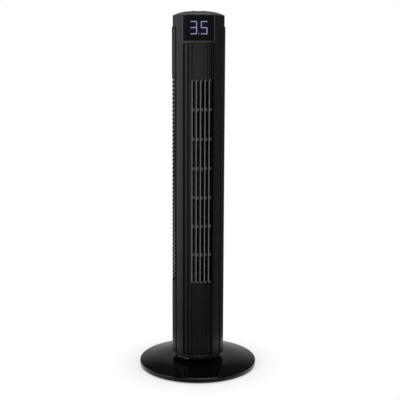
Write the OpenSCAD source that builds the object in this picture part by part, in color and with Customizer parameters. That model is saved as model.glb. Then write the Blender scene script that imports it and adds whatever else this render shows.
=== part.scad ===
// Tower fan on a round base. Millimetres, +Z up, front towards -Y.
// The origin is on the floor, on the axis that the tower swings about.

/* [Base] */
// Radius of the base disc
base_r = 133.3; // [115:0.1:160]
// Height of the base's rim above the floor
base_rim_h = 12.5; // [11:0.1:18]
// Rise of the base's dome from its rim to the foot of the neck
dome_rise = 7.5; // [5:0.1:14]
// Radius of the base's neck
neck_r = 47; // [42:0.5:52]
// Height of the neck above the dome
neck_h = 8.6; // [6:0.1:20]
// Wall of the base cover
base_wall = 2.4; // [1.8:0.1:3]
// Thickness of the steel base plate
plate_t = 1.6; // [1:0.1:2.5]
// Radius of one rubber foot
foot_r = 9; // [6:0.5:12]
// Height of the rubber feet below the base plate
foot_h = 1.8; // [1.2:0.1:3]

/* [Tower] */
// Outer radius of the rear housing
rear_r = 58.4; // [57:0.1:64]
// Step in from the rear housing to the front housing and the head
shell_step = 1.9; // [1:0.1:2.1]
// Wall of the tower's housings
wall = 2.2; // [1.8:0.1:2.6]
// Angle from the front to each seam between front and rear housing
seam_az = 60; // [56:1:66]
// Height of the turntable's rim
rim_h = 6.8; // [6:0.1:12]
// Height of the motor bay between the turntable and the outlet
motor_bay_h = 166.6; // [160:0.1:220]
// Height of the air outlet
outlet_h = 448; // [300:1:600]
// Height of the fluted chin between the outlet and the display
chin_h = 80.4; // [60:0.1:120]
// Height of the head's band above the rear housing's shoulder
head_h = 22; // [16:0.5:30]
// Height of the domed top cap
cap_h = 11.5; // [10:0.1:20]

/* [Front] */
// Spacing of the upright channels
channel_pitch = 9.14; // [8.6:0.01:9.6]
// Number of upright channels
channel_count = 7; // [5:2:7]
// Shift of the channels to the left of the tower's middle
channel_shift = 2.1; // [1.5:0.1:2.5]
// Width of the ridge between two channels
ridge_w = 2.4; // [2:0.1:3]
// Width of the narrow groove that closes the fluted band at its right
edge_groove_w = 1.8; // [1:0.1:2.4]
// Depth of the channels
channel_depth = 4; // [2.5:0.1:4.4]
// Number of closed channels to the left of the outlet
closed_channels = 2; // [1:1:3]
// Rows of openings in the outlet
outlet_rows = 7; // [4:1:10]
// Height of a crossbar between two rows
crossbar_h = 6.5; // [4:0.1:9]
// Thickness of an outlet fin
fin_t = 1.4; // [1.2:0.1:2.2]
// Slant of an outlet fin
fin_slant = 8; // [4:1:20]
// Depth of an outlet fin's nose behind the front's surface
fin_set = 0.6; // [0.4:0.1:3]

/* [Display] */
// Width of the display lens
display_w = 66; // [56:0.2:72]
// Height of the display lens
display_h = 53.1; // [46:0.2:70]
// Height of a digit
digit_h = 27; // [20:0.5:30]
// Width of a digit
digit_w = 14.3; // [10:0.1:15]
// Width of a lit segment
segment_w = 2.1; // [1.5:0.1:3]

/* [Intake] */
// Angle from the front to the near edge of the intake, on the left
intake_near_az = 62; // [62:1:80]
// Angle from the front, round the back, to the far edge of the intake
intake_far_az = 236; // [180:1:240]
// Spacing of the intake's slots
slot_pitch = 9.07; // [8:0.01:14]
// Height of one slot
slot_h = 4.2; // [3:0.1:7]
// Angle between the upright ribs behind the slats
rib_step = 17.2; // [12:0.1:30]

/* [Impeller] */
// Clearance from the outlet's grille to the cross-flow impeller
impeller_gap = 7.5; // [6.5:0.5:10]
// Number of impeller blades
blade_count = 24; // [16:1:32]
// Number of support discs between the end discs
disc_count = 8; // [4:1:12]

/* [Motor] */
// Radius of the motor's bells
motor_r = 41; // [36:0.5:43]
// Height of the laminated stack
stack_h = 30; // [20:1:34]
// Height of each bell
bell_h = 17; // [15:0.5:20]
// Width of the stator's core, from its bore to its rim
core_w = 19.5; // [18:0.5:20.5]
// Radius of the motor shaft
shaft_r = 4; // [3:0.5:5]

/* [Swing drive] */
// Outer radius of the pivot post
post_r = 14; // [12:0.5:16]
// Radius of the cable way through the post
post_bore_r = 8; // [6:0.5:9]
// Module of the swing gear and its pinion
gear_module = 1; // [0.9:0.05:1.1]
// Teeth on the fixed gear
gear_teeth = 40; // [38:1:44]
// Teeth on the pinion
pinion_teeth = 12; // [12:1:16]
// Thickness of the gears
gear_t = 6; // [4:0.5:8]

/* [Supply board] */
// Half of the board's length, along X
board_half_x = 35; // [32:0.5:38]
// Half of the board's width, along Y
board_half_y = 24; // [22:0.5:28]
// Height of the board above the turntable's floor
board_stand_h = 48; // [44:1:60]

/* [Buttons] */
// Radius of the power button
power_r = 6.5; // [5:0.1:7]
// Radius of the four other buttons
button_r = 4.6; // [3.5:0.1:5]
// Distance from the power button to each other button
button_ring_r = 15.6; // [14.8:0.1:17]
// Travel of a button
button_travel = 1.2; // [0.8:0.1:1.5]

/* [Clearances] */
// Radial clearance of a running fit
running_gap = 0.05; // [0.02:0.01:0.1]
// Gap between pieces that move past each other
move_gap = 1; // [0.6:0.1:2]
// Gap round a piece set into an opening
panel_gap = 0.2; // [0.1:0.05:0.4]

/* [Hidden] */
$fn = 96;

// Angles are turned from the front, where -Y is, into the angle from +X.
FRONT = 270;
eps = 0.01;

// Heights from the floor upwards
plate_z0 = foot_h;
plate_z1 = plate_z0 + plate_t;
dome_top_z = base_rim_h + dome_rise;
neck_z = dome_top_z + neck_h;
underside_z = neck_z + move_gap;
housing_z0 = underside_z + rim_h;
outlet_z0 = housing_z0 + motor_bay_h;
outlet_z1 = outlet_z0 + outlet_h;
display_z0 = outlet_z1 + chin_h;
head_z1 = display_z0 + display_h + 0.5;
shoulder_z = head_z1 - head_h;
flute_z1 = display_z0 - 4.3;

// Radii of the tower's shells
rear_in_r = rear_r - wall;
front_r = rear_r - shell_step;
front_in_r = front_r - wall;
channel_floor_r = front_r - channel_depth;
flute_in_r = channel_floor_r - wall;
grille_t = 2.8;
impeller_r = flute_in_r - grille_t - impeller_gap;

// The fluted zone and the open channels, along X
zone_x0 = -channel_count * channel_pitch / 2 - channel_shift;
zone_x1 = channel_count * channel_pitch / 2 - channel_shift;
gap_w = channel_pitch - ridge_w;
thick_x = -zone_x0 + wall;
outlet_x0 = zone_x0 + closed_channels * channel_pitch;
outlet_x1 = zone_x1;
function channel_x(i) = zone_x0 + (i + 0.5) * channel_pitch;

// The plates above and below the air duct
duct_margin = 4;
deck_t = 3;
duct_z0 = outlet_z0 - duct_margin;
duct_z1 = outlet_z1 + duct_margin;
impeller_z0 = duct_z0 + 3;
impeller_z1 = duct_z1 - 3;

// The swing gears
gear_pitch_r = gear_module * gear_teeth / 2;
pinion_pitch_r = gear_module * pinion_teeth / 2;
pinion_y = gear_pitch_r + pinion_pitch_r;
deck_floor_z = underside_z + 2.4;
hub_z1 = deck_floor_z + 5.2;
gear_z0 = hub_z1 + 0.6;
gear_z1 = gear_z0 + gear_t;
swing_motor_z0 = gear_z1 + 2;

// The top panel and its buttons
panel_r = 30;
panel_t = 3;
panel_z1 = head_z1 + cap_h - 1.5;
button_z1 = panel_z1 + 1.4;
button_flange_z1 = panel_z1 - panel_t - 0.2;
button_flange_t = 1.6;
switch_z1 = button_flange_z1 - button_flange_t - button_travel - 0.1;
switch_h = 4;
board_t = 1.6;
board_post_r = 2.3;
board_post_ring_r = 24.6;

/* Shapes that repeat */

// An upright tube about the Z axis
module tube(r_out, r_in, z0, z1) {
    translate([0, 0, z0])
        difference() {
            cylinder(h = z1 - z0, r = r_out);
            translate([0, 0, -1])
                cylinder(h = z1 - z0 + 2, r = r_in);
        }
}

// A part of an upright tube between two angles, counted from +X
module sector(r_out, r_in, z0, z1, a0, a1) {
    translate([0, 0, z0])
        rotate([0, 0, a0])
            rotate_extrude(angle = a1 - a0)
                translate([r_in, 0])
                    square([r_out - r_in, z1 - z0]);
}

// A block between two corners
module block(low, high) {
    translate(low)
        cube(high - low);
}

// An upright rod
module rod(x, y, r, z0, z1) {
    translate([x, y, z0])
        cylinder(h = z1 - z0, r = r, $fn = 32);
}

// A pan-head screw whose thread points down from its seat, or up if turned over
module screw(head_r, head_h, shank_r, shank_l) {
    difference() {
        union() {
            cylinder(h = head_h, r = head_r, $fn = 32);
            translate([0, 0, -shank_l])
                cylinder(h = shank_l + eps, r = shank_r, $fn = 32);
        }
        translate([0, 0, head_h * 0.45])
            for (turn = [0, 90])
                rotate([0, 0, turn])
                    translate([-head_r * 0.6, -head_r * 0.14, 0])
                        cube([head_r * 1.2, head_r * 0.28, head_h]);
    }
}

// An involute gear's outline; backlash is taken off each tooth's width
function involute(a) = tan(a) - a * PI / 180;
module gear_outline(teeth, add, bore_r) {
    pitch_r = gear_module * teeth / 2;
    base_circle_r = pitch_r * cos(20);
    root_r = pitch_r - 1.25 * gear_module;
    tip_r = pitch_r + add * gear_module;
    half = 90 / teeth - 0.09 * 180 / PI / pitch_r;
    start_r = max(base_circle_r, root_r);
    steps = 5;
    radii = [for (i = [0:steps]) start_r + (tip_r - start_r) * i / steps];
    flank = [for (r = radii) half + (involute(20) - involute(acos(base_circle_r / r))) * 180 / PI];
    difference() {
        union() {
            circle(r = root_r);
            for (t = [0:teeth - 1])
                rotate(t * 360 / teeth)
                    polygon(concat(
                        [(root_r - 0.4) * [cos(flank[0]), -sin(flank[0])]],
                        [for (i = [0:steps]) radii[i] * [cos(flank[i]), -sin(flank[i])]],
                        [for (i = [steps:-1:0]) radii[i] * [cos(flank[i]), sin(flank[i])]],
                        [(root_r - 0.4) * [cos(flank[0]), sin(flank[0])]]
                    ));
        }
        circle(r = bore_r);
    }
}

/* Base */

// The cover's outside: side wall, rounded rim, gentle dome, flared neck
rim_round = 2.6;
neck_flare = 8;
dome_sag = 1.5;
cover_z0 = 0.6 + foot_h;
dome_r0 = base_r - 2.9;
dome_r1 = neck_r + neck_flare + 2;
function rim_arc(off) = [for (a = [0:15:75])
    [base_r - rim_round + (rim_round - off) * cos(a),
     base_rim_h - rim_round - 0.1 + (rim_round - off) * sin(a)]];
function dome_arc(off) = [for (i = [0:10])
    [dome_r0 + (dome_r1 - dome_r0) * i / 10,
     base_rim_h - off + (dome_rise - neck_flare * 0.12) * i / 10 + dome_sag * sin(18 * i)]];
function neck_arc(off) = [for (a = [15:15:90])
    [neck_r - off + neck_flare * (1 - sin(a)),
     dome_top_z + neck_flare * 0.9 * (1 - cos(a)) - off * (1 - a / 90)]];

module base_cover() {
    outside = concat([[base_r, cover_z0]], rim_arc(0), dome_arc(0), neck_arc(0), [[neck_r, neck_z]]);
    inside = concat([[base_r - base_wall, cover_z0]], rim_arc(base_wall), dome_arc(base_wall),
        neck_arc(base_wall), [[neck_r - base_wall, neck_z - base_wall]]);
    back = [for (i = [len(inside) - 1:-1:0]) inside[i]];
    color([0.02, 0.02, 0.022])
        difference() {
            union() {
                rotate_extrude()
                    polygon(concat(outside, [[post_r + 0.3, neck_z]],
                        [[post_r + 0.3, neck_z - base_wall]], back));
                for (a = [0:72:359])
                    rotate([0, 0, a + 54])
                        rod(screw_ring_r, 0, 4, plate_z1, boss_z1);
            }
            for (a = [0:72:359])
                rotate([0, 0, a + 54])
                    rod(screw_ring_r, 0, 1.3, plate_z1 - 1, boss_z1 - 3);
            rotate([0, 0, 90])
                translate([base_r - 4, 0, gland_z])
                    rotate([0, 90, 0])
                        cylinder(h = 10, r = gland_r + 0.1, center = true, $fn = 48);
        }
}

screw_ring_r = base_r - 11.3;
boss_z1 = base_rim_h - base_wall + 1.4;
gland_r = 2.6;
gland_lip = 0.5;
gland_z = plate_z1 + gland_r + gland_lip + 0.15;

module base_plate() {
    color([0.35, 0.35, 0.37])
        difference() {
            tube(base_r - base_wall - panel_gap, post_bore_r, plate_z0, plate_z1);
            for (a = [0:72:359])
                rotate([0, 0, a + 54])
                    rod(screw_ring_r, 0, 1.7, plate_z0 - 1, plate_z1 + 1);
            for (a = [0:72:359])
                rotate([0, 0, a + 18])
                    rod(screw_ring_r - 8, 0, 2.5, plate_z0 - 1, plate_z1 + 1);
            for (a = [0:120:359])
                rotate([0, 0, a + 30])
                    rod(post_flange_r - 4, 0, 1.7, plate_z0 - 1, plate_z1 + 1);
        }
}

module ballast_ring() {
    color([0.3, 0.3, 0.32])
        tube(ballast_r1, ballast_r0, plate_z1, plate_z1 + ballast_h);
}
ballast_r1 = base_r - 40;
ballast_r0 = 52;
ballast_h = base_rim_h - base_wall - plate_z1 - 0.6;

module rubber_feet() {
    color([0.05, 0.05, 0.05])
        for (a = [0:72:359])
            rotate([0, 0, a + 18]) {
                rod(screw_ring_r - 8, 0, foot_r, 0, plate_z0);
                rod(screw_ring_r - 8, 0, 2.5, plate_z0 - eps, plate_z1);
            }
}

module base_screws() {
    color([0.6, 0.6, 0.62])
        for (a = [0:72:359])
            rotate([0, 0, a + 54])
                translate([screw_ring_r, 0, plate_z0])
                    rotate([180, 0, 0])
                        screw(2.8, 1.4, 1.3, plate_t + boss_z1 - plate_z1 - 3.4);
}

// The hollow post stands on the base plate and carries the tower
post_flange_r = 30;
post_flange_t = 3;
post_z1 = gear_z1;
module pivot_post() {
    color([0.4, 0.4, 0.42])
        difference() {
            union() {
                tube(post_r, post_bore_r, plate_z1, post_z1);
                tube(post_flange_r, post_bore_r, plate_z1, plate_z1 + post_flange_t);
            }
            for (a = [0:120:359])
                rotate([0, 0, a + 30])
                    rod(post_flange_r - 4, 0, 1.7, plate_z1 - 1, plate_z1 + post_flange_t + 1);
            for (a = [0:120:359])
                rotate([0, 0, a])
                    rod(retainer_screw_r, 0, 1, post_z1 - 6, post_z1 + 1);
        }
}
retainer_screw_r = (post_r + post_bore_r) / 2;

module swing_gear() {
    color([0.85, 0.85, 0.8])
        translate([0, 0, gear_z0])
            linear_extrude(height = gear_t)
                rotate(90)
                    gear_outline(gear_teeth, 0.8, post_r);
}

retainer_t = 1.4;
module gear_retainer() {
    color([0.5, 0.5, 0.52])
        difference() {
            tube(post_r + 2.5, post_bore_r, gear_z1, gear_z1 + retainer_t);
            for (a = [0:120:359])
                rotate([0, 0, a])
                    rod(retainer_screw_r, 0, 1, gear_z1 - 1, gear_z1 + retainer_t + 1);
        }
}

module retainer_screws() {
    color([0.6, 0.6, 0.62])
        for (a = [0:120:359])
            rotate([0, 0, a])
                translate([retainer_screw_r, 0, gear_z1 + retainer_t])
                    screw(1.9, 1.1, 1, 5);
}

module thrust_washer() {
    color([0.85, 0.85, 0.82])
        tube(post_r + 9, post_r, neck_z, underside_z - 0.05);
}

// The gland that the mains lead would pass through, at the back of the base
module cord_gland() {
    color([0.04, 0.04, 0.04])
        rotate([0, 0, 90])
            translate([base_r - base_wall - 1.4, 0, gland_z])
                rotate([0, 90, 0])
                    difference() {
                        union() {
                            cylinder(h = 3.6, r = gland_r, $fn = 48);
                            cylinder(h = 1.2, r = gland_r + gland_lip, $fn = 48);
                        }
                        translate([0, 0, -1])
                            cylinder(h = 6, r = gland_r - 0.8, $fn = 48);
                    }
}

/* Tower */

upright_x = 26;
upright_w = 9;
upright_h = 42;
board_stud = [for (x = [-1, 1]) for (y = [-1, 1]) [x * (board_half_x - 5), y * (board_half_y - 6)]];
power_board_z = deck_floor_z + board_stand_h;
ear_x = 17.5;
swing_motor_y = pinion_y + 8;
front_screw_az = 24;
front_screw_r = flute_in_r - 4.2;

// The bottom pan of the tower, with the hub that turns on the post
module turntable() {
    round_r = 2.4;
    rim_in_r = front_in_r;
    corner = [for (a = [270:15:360])
        [rear_r - round_r + round_r * cos(a), underside_z + round_r + round_r * sin(a)]];
    color([0.05, 0.05, 0.055])
        difference() {
            union() {
                rotate_extrude()
                    polygon(concat([[post_r + running_gap, underside_z]], corner,
                        [[rear_r, housing_z0], [rim_in_r, housing_z0], [rim_in_r, deck_floor_z],
                        [post_r + 3.4, deck_floor_z], [post_r + 3.4, hub_z1],
                        [post_r + running_gap, hub_z1]]));
                for (x = [-upright_x, upright_x])
                    intersection() {
                        block([x - upright_w / 2, rear_in_r - 12, deck_floor_z - eps],
                            [x + upright_w / 2, rear_r, deck_floor_z + upright_h]);
                        tube(rear_in_r, rear_in_r - 9, deck_floor_z - 1, deck_floor_z + upright_h + 1);
                    }
                for (p = board_stud)
                    rod(p[0], p[1], 3.2, deck_floor_z - eps, power_board_z);
                for (x = [-ear_x, ear_x])
                    rod(x, swing_motor_y, 3.2, deck_floor_z - eps, swing_motor_z0);
                rod(0, pinion_y, 4.5, deck_floor_z - eps, gear_z0 - 0.5);
            }
            rod(0, pinion_y, 2.05, deck_floor_z + 0.6, gear_z0);
            for (x = [-ear_x, ear_x])
                rod(x, swing_motor_y, 1.2, swing_motor_z0 - 8, swing_motor_z0 + 1);
            for (x = [-upright_x, upright_x])
                translate([x, rear_r, housing_screw_z])
                    rotate([90, 0, 0])
                        cylinder(h = 16, r = 1.3, $fn = 32);
            for (a = [-front_screw_az, front_screw_az])
                rotate([0, 0, FRONT + a])
                    rod(front_screw_r, 0, 1.7, underside_z - 1, deck_floor_z + 1);
        }
}
housing_screw_z = housing_z0 + 24;

// Upright boxes that run through the front wall, one to a channel
module channel_boxes(first, last, width, z0, z1) {
    for (i = [first:last])
        block([channel_x(i) - width / 2, -rear_r - 2, z0], [channel_x(i) + width / 2, -10, z1]);
}

// The groove at the right of the last ridge
module edge_groove_box(z0, z1) {
    x0 = zone_x1 + ridge_w / 2;
    block([x0, -rear_r - 2, z0], [x0 + edge_groove_w, -10, z1]);
}

module front_housing() {
    color([0.045, 0.045, 0.05])
        difference() {
            union() {
                difference() {
                    tube(front_r, front_in_r, housing_z0, head_z1);
                    sector(rear_r + 1, front_in_r - 1, housing_z0 - 1, shoulder_z,
                        FRONT + seam_az - 360, FRONT - seam_az);
                }
                intersection() {
                    sector(front_r - 0.5, flute_in_r, housing_z0, flute_z1 + wall,
                        FRONT - seam_az, FRONT + seam_az);
                    block([-thick_x, -rear_r, housing_z0], [thick_x, 0, flute_z1 + wall]);
                }
                for (a = [-front_screw_az, front_screw_az])
                    rotate([0, 0, FRONT + a])
                        rod(front_screw_r, 0, 4.4, deck_floor_z, housing_z0 + 12);
            }
            difference() {
                union() {
                    channel_boxes(0, channel_count - 1, gap_w, housing_z0 - 1, flute_z1);
                    edge_groove_box(housing_z0 - 1, flute_z1);
                }
                rod(0, 0, channel_floor_r, housing_z0 - 2, flute_z1 + 1);
            }
            channel_boxes(closed_channels, channel_count - 1, gap_w, outlet_z0, outlet_z1);
            block([-display_w / 2 - panel_gap, -rear_r, display_z0 - panel_gap],
                [display_w / 2 + panel_gap, -10, display_z0 + display_h + panel_gap]);
            for (a = [-front_screw_az, front_screw_az])
                rotate([0, 0, FRONT + a])
                    rod(front_screw_r, 0, 1.3, deck_floor_z - 1, housing_z0 + 9);
        }
}

// The dark-grey insert behind the outlet: a frame, pads that fill the channels'
// floor in front of it, and slanting fins that reach forward through the channels
grille_margin = 3.7;
grille_z0 = outlet_z0 + grille_margin;
grille_z1 = outlet_z1 - grille_margin;
row_h = (grille_z1 - grille_z0 - (outlet_rows - 1) * crossbar_h) / outlet_rows;
grille_lip = 1.5;
fin_depth = grille_t + impeller_gap - 3.3;

module outlet_grille() {
    x0 = outlet_x0 - grille_lip;
    x1 = outlet_x1 + grille_lip;
    color([0.13, 0.13, 0.135])
        union() {
            difference() {
                union() {
                    intersection() {
                        tube(flute_in_r, flute_in_r - grille_t, outlet_z0 - 2, outlet_z1 + 2);
                        block([x0, -rear_r, outlet_z0 - 2], [x1, 0, outlet_z1 + 2]);
                    }
                    intersection() {
                        tube(channel_floor_r, flute_in_r - 1, outlet_z0 + panel_gap, outlet_z1 - panel_gap);
                        channel_boxes(closed_channels, channel_count - 1, gap_w - 2 * panel_gap,
                            outlet_z0, outlet_z1);
                    }
                }
                for (row = [0:outlet_rows - 1])
                    translate([0, 0, grille_z0 + row * (row_h + crossbar_h)])
                        block([x0 + 2.6, -rear_r, 0], [x1 - 2.6, 0, row_h]);
            }
            for (i = [closed_channels:channel_count - 1])
                outlet_fin(channel_x(i) - gap_w / 2 + 0.3);
        }
}

// One fin: its nose shows just inside a channel's mouth, beside the ridge at its
// left, and from there it leans to the right
module outlet_fin(x) {
    nose_y = -sqrt(pow(front_r - fin_set, 2) - pow(x + fin_t, 2));
    tail_y = -sqrt(pow(flute_in_r - 0.4, 2) - pow(x + fin_t / 2, 2)) + fin_depth;
    translate([x, nose_y, grille_z0 - 1])
        rotate([0, 0, -fin_slant])
            cube([fin_t, tail_y - nose_y, grille_z1 - grille_z0 + 2]);
}

// The rear housing: a thick shell cleared inside, which leaves two seam flanges
// and a top lip; its upper corners are cut back beside the head
corner_w = 4.4;
corner_h = 6.5;
module rear_housing() {
    a0 = FRONT + seam_az - 360;
    a1 = FRONT - seam_az;
    flange_deg = 1.8;
    color([0.045, 0.045, 0.05])
        difference() {
            sector(rear_r, front_in_r, housing_z0, shoulder_z, a0, a1);
            sector(rear_in_r, front_in_r - 5, housing_z0 - 1, shoulder_z - wall,
                a0 + flange_deg, a1 - flange_deg);
            sector(rear_r + 1, rear_in_r - 1, outlet_z0, outlet_z1,
                FRONT - intake_far_az, FRONT - intake_near_az);
            for (end = [[a0, 1], [a1, -1]])
                rotate([0, 0, end[0]])
                    translate([front_r, 0, shoulder_z - corner_h])
                        rotate([-end[1] * atan(corner_w / corner_h), 0, 0])
                            translate([0, -20 + (1 - end[1]) * 10, -10])
                                cube([5, 20, 30]);
            for (x = [-upright_x, upright_x])
                translate([x, rear_r + 1, housing_screw_z])
                    rotate([90, 0, 0])
                        cylinder(h = 20, r = 1.7, $fn = 32);
            for (x = [-upright_x, upright_x])
                translate([x, rear_r + 1, housing_screw_z])
                    rotate([90, 0, 0])
                        cylinder(h = rear_r + 1 - screw_seat_y, r = 3.3, $fn = 32);
        }
}
screw_seat_y = sqrt(pow(rear_in_r, 2) - pow(upright_x, 2)) + 1.6;

// A solid wedge about the Z axis between two angles
module wedge(a0, a1, z0, z1) {
    reach = rear_r * 2;
    translate([0, 0, z0])
        linear_extrude(height = z1 - z0)
            polygon(concat([[0, 0]], [for (i = [0:4]) let (a = a0 + (a1 - a0) * i / 4)
                reach * [cos(a), sin(a)]]));
}

// The intake: a frame whose inner flange holds it in the rear housing's
// window, slats across it, and upright ribs behind the slats
module intake_grille() {
    a0 = FRONT - intake_far_az;
    a1 = FRONT - intake_near_az;
    border = 2;
    slots = floor((outlet_h - 2 * border) / slot_pitch);
    slat_h = slot_pitch - slot_h;
    slots_z0 = outlet_z0 + (outlet_h - slots * slot_pitch + slat_h) / 2;
    slots_z1 = slots_z0 + slots * slot_pitch - slat_h;
    slat_inset = 0.2;
    near_deg = 1;
    far_deg = 2;
    rib_w = 2.4;
    rib_r = rear_in_r + wall * 0.35;
    flange = 3;
    flange_deg = 3;
    z0 = outlet_z0 - flange;
    z1 = outlet_z1 + flange;
    color([0.03, 0.03, 0.033])
        union() {
            difference() {
                intersection() {
                    tube(rear_r, front_in_r, z0, z1);
                    wedge(a0 - flange_deg, a1, z0, z1);
                }
                difference() {
                    tube(rear_r + 1, rear_in_r, z0 - 1, z1 + 1);
                    wedge(a0, a1, outlet_z0, outlet_z1);
                }
                wedge(a0 + far_deg, a1 - near_deg, slots_z0, slots_z1);
            }
            for (i = [1:slots - 1])
                intersection() {
                    tube(rear_r - slat_inset, rear_in_r + slat_inset,
                        slots_z0 + i * slot_pitch - slat_h, slots_z0 + i * slot_pitch);
                    wedge(a0 + far_deg / 2, a1 - near_deg / 2, outlet_z0, outlet_z1);
                }
            for (a = [a0 + rib_step:rib_step:a1 - rib_step / 2])
                rotate([0, 0, a])
                    block([front_in_r + 0.5, -rib_w / 2, outlet_z0 + 1], [rib_r, rib_w / 2, outlet_z1 - 1]);
        }
}

// The domed cap: a curve of the third power with a rounded edge
cap_edge_h = 2;
collar_t = 2.5;
function dome_z(r, off) = head_z1 + cap_edge_h - off
    + (cap_h - cap_edge_h) * (1 - pow(r / front_r, 3));
module top_cap() {
    skirt_r = front_in_r - panel_gap;
    edge = 1.4;
    outside = [for (i = [0:12]) let (r = panel_r + (front_r - edge - panel_r) * i / 12) [r, dome_z(r, 0)]];
    rim = [for (a = [75:-15:0]) [front_r - edge + edge * cos(a),
        dome_z(front_r - edge, 0) - edge + edge * sin(a)]];
    inside = [for (i = [12:-1:0])
        let (r = panel_r + collar_t + (skirt_r - wall - panel_r - collar_t) * i / 12)
        [r, dome_z(r, wall)]];
    color([0.05, 0.05, 0.055])
        difference() {
            rotate_extrude()
                polygon(concat(outside, rim, [[front_r, head_z1], [skirt_r, head_z1], [skirt_r, head_z1 - 6],
                    [skirt_r - wall, head_z1 - 6]], inside,
                    [[panel_r + collar_t, panel_z1 - panel_t - 1.8], [panel_r - 2, panel_z1 - panel_t - 1.8],
                    [panel_r - 2, panel_z1 - panel_t], [panel_r, panel_z1 - panel_t]]));
            block([-display_w / 2 - 4, -rear_r, head_z1 - 7], [display_w / 2 + 4, -20, head_z1]);
        }
}

// Where the buttons stand: power in the middle, the others round it
function button_at(i) = i == 0 ? [0, 0] : button_ring_r * [cos(90 * i - 45), sin(90 * i - 45)];
function button_size(i) = i == 0 ? power_r : button_r;

module control_panel() {
    color([0.03, 0.03, 0.033])
        difference() {
            union() {
                rod_panel();
                for (a = [0:90:359])
                    rotate([0, 0, a])
                        rod(board_post_ring_r, 0, board_post_r, switch_z1 - switch_h, panel_z1 - 1);
            }
            for (i = [0:4])
                translate([button_at(i)[0], button_at(i)[1], panel_z1 - panel_t - 1])
                    cylinder(h = panel_t + 2, r = button_size(i) + panel_gap * 1.5, $fn = 64);
        }
}
module rod_panel() {
    translate([0, 0, panel_z1 - panel_t])
        cylinder(h = panel_t, r = panel_r - panel_gap / 2);
}

module button(i) {
    top_round = 0.5;
    r = button_size(i);
    color([0.1, 0.1, 0.105])
        translate([button_at(i)[0], button_at(i)[1], 0])
            rotate_extrude($fn = 64)
                polygon([[0, button_flange_z1 - button_flange_t], [r + 1, button_flange_z1 - button_flange_t],
                    [r + 1, button_flange_z1], [r, button_flange_z1], [r, button_z1 - top_round],
                    [r - top_round * 0.3, button_z1 - top_round * 0.3], [r - top_round, button_z1],
                    [r * 0.6, button_z1 - 0.25], [0, button_z1 - 0.4]]);
}

module button_switches() {
    color([0.55, 0.55, 0.56])
        for (i = [0:4])
            translate([button_at(i)[0], button_at(i)[1], switch_z1 - switch_h]) {
                translate([-3, -3, 0])
                    cube([6, 6, switch_h - 1]);
                cylinder(h = switch_h, r = 1.7, $fn = 32);
            }
}

module control_board() {
    z1 = switch_z1 - switch_h;
    color([0.05, 0.25, 0.12])
        difference() {
            tube(panel_r - 2.6, 0.8, z1 - board_t, z1);
            rod(0, board_post_ring_r, 0.9, z1 - board_t - 1, z1 + 1);
        }
}

// The lens plugs the window; a flange behind it rests on the housing's inside
lens_proud = -0.25;
lens_flange = 1.9;
lens_flange_t = 2;
lens_leg_w = 4;
display_board_w = display_w - 5.4;
board_y = -sqrt(pow(front_in_r - lens_flange_t - 1, 2) - pow(display_board_w / 2, 2));
module display_lens() {
    half = display_w / 2;
    color([0.015, 0.015, 0.018])
        difference() {
            union() {
                intersection() {
                    tube(front_r + lens_proud, front_in_r - 0.2, display_z0, display_z0 + display_h);
                    block([-half, -rear_r, display_z0], [half, 0, display_z0 + display_h]);
                }
                intersection() {
                    tube(front_in_r, front_in_r - lens_flange_t,
                        display_z0 - lens_flange, display_z0 + display_h);
                    block([-half - lens_flange, -rear_r, display_z0 - lens_flange],
                        [half + lens_flange, 0, display_z0 + display_h]);
                }
                for (x = [-1, 1] * (display_board_w - lens_leg_w) / 2)
                    block([x - lens_leg_w / 2, -sqrt(pow(front_in_r - 1, 2) - x * x), display_z0 + 18],
                        [x + lens_leg_w / 2, board_y, display_z0 + 30]);
            }
            digits(0);
        }
}

// Seven-segment strokes, run back from the lens to the board as light guides
digit_gap = 8.4;
digits_x = 1.5;
digits_z = display_z0 + 14.2;
function bar_on(digit, name) = len(search(name, digit == 3 ? "abgcd" : "afgcd")) > 0;
module strokes(digit) {
    w = segment_w;
    mid = digit_h / 2;
    long = (digit_h - w) / 2;
    if (bar_on(digit, "a")) translate([0, digit_h - w]) square([digit_w, w]);
    if (bar_on(digit, "g")) translate([0, mid - w / 2]) square([digit_w, w]);
    if (bar_on(digit, "d")) square([digit_w, w]);
    if (bar_on(digit, "b")) translate([digit_w - w, mid]) square([w, long]);
    if (bar_on(digit, "c")) translate([digit_w - w, 0.5 * w]) square([w, long]);
    if (bar_on(digit, "f")) translate([0, mid]) square([w, long]);
}
module digits(grow) {
    intersection() {
        translate([digits_x, board_y - 0.01, digits_z])
            rotate([90, 0, 0])
                linear_extrude(height = rear_r + board_y) {
                    translate([-digit_w - digit_gap / 2, 0])
                        strokes(3);
                    translate([digit_gap / 2, 0])
                        strokes(5);
                    translate([-segment_w / 2, 0])
                        square([segment_w, segment_w]);
                }
        translate([0, 0, display_z0])
            cylinder(h = display_h, r = front_r + lens_proud + grow);
    }
}

module display_digits() {
    color([0.75, 0.75, 1])
        digits(0.1);
}

module display_board() {
    color([0.05, 0.25, 0.12])
        block([-display_board_w / 2, board_y, display_z0 + 4],
            [display_board_w / 2, board_y + board_t, display_z0 + display_h - 6]);
}

/* Air duct, impeller and motor */

duct_t = 1.6;
scroll_a0 = FRONT - intake_far_az - 3.6;
scroll_a1 = FRONT - 360 + asin((thick_x + 0.4) / (flute_in_r - grille_t));
tongue_a0 = FRONT - intake_near_az + 2;
tongue_a1 = FRONT + asin((outlet_x0 - grille_lip) / flute_in_r) - 4;

function at(r, a) = r * [cos(a), sin(a)];

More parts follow.
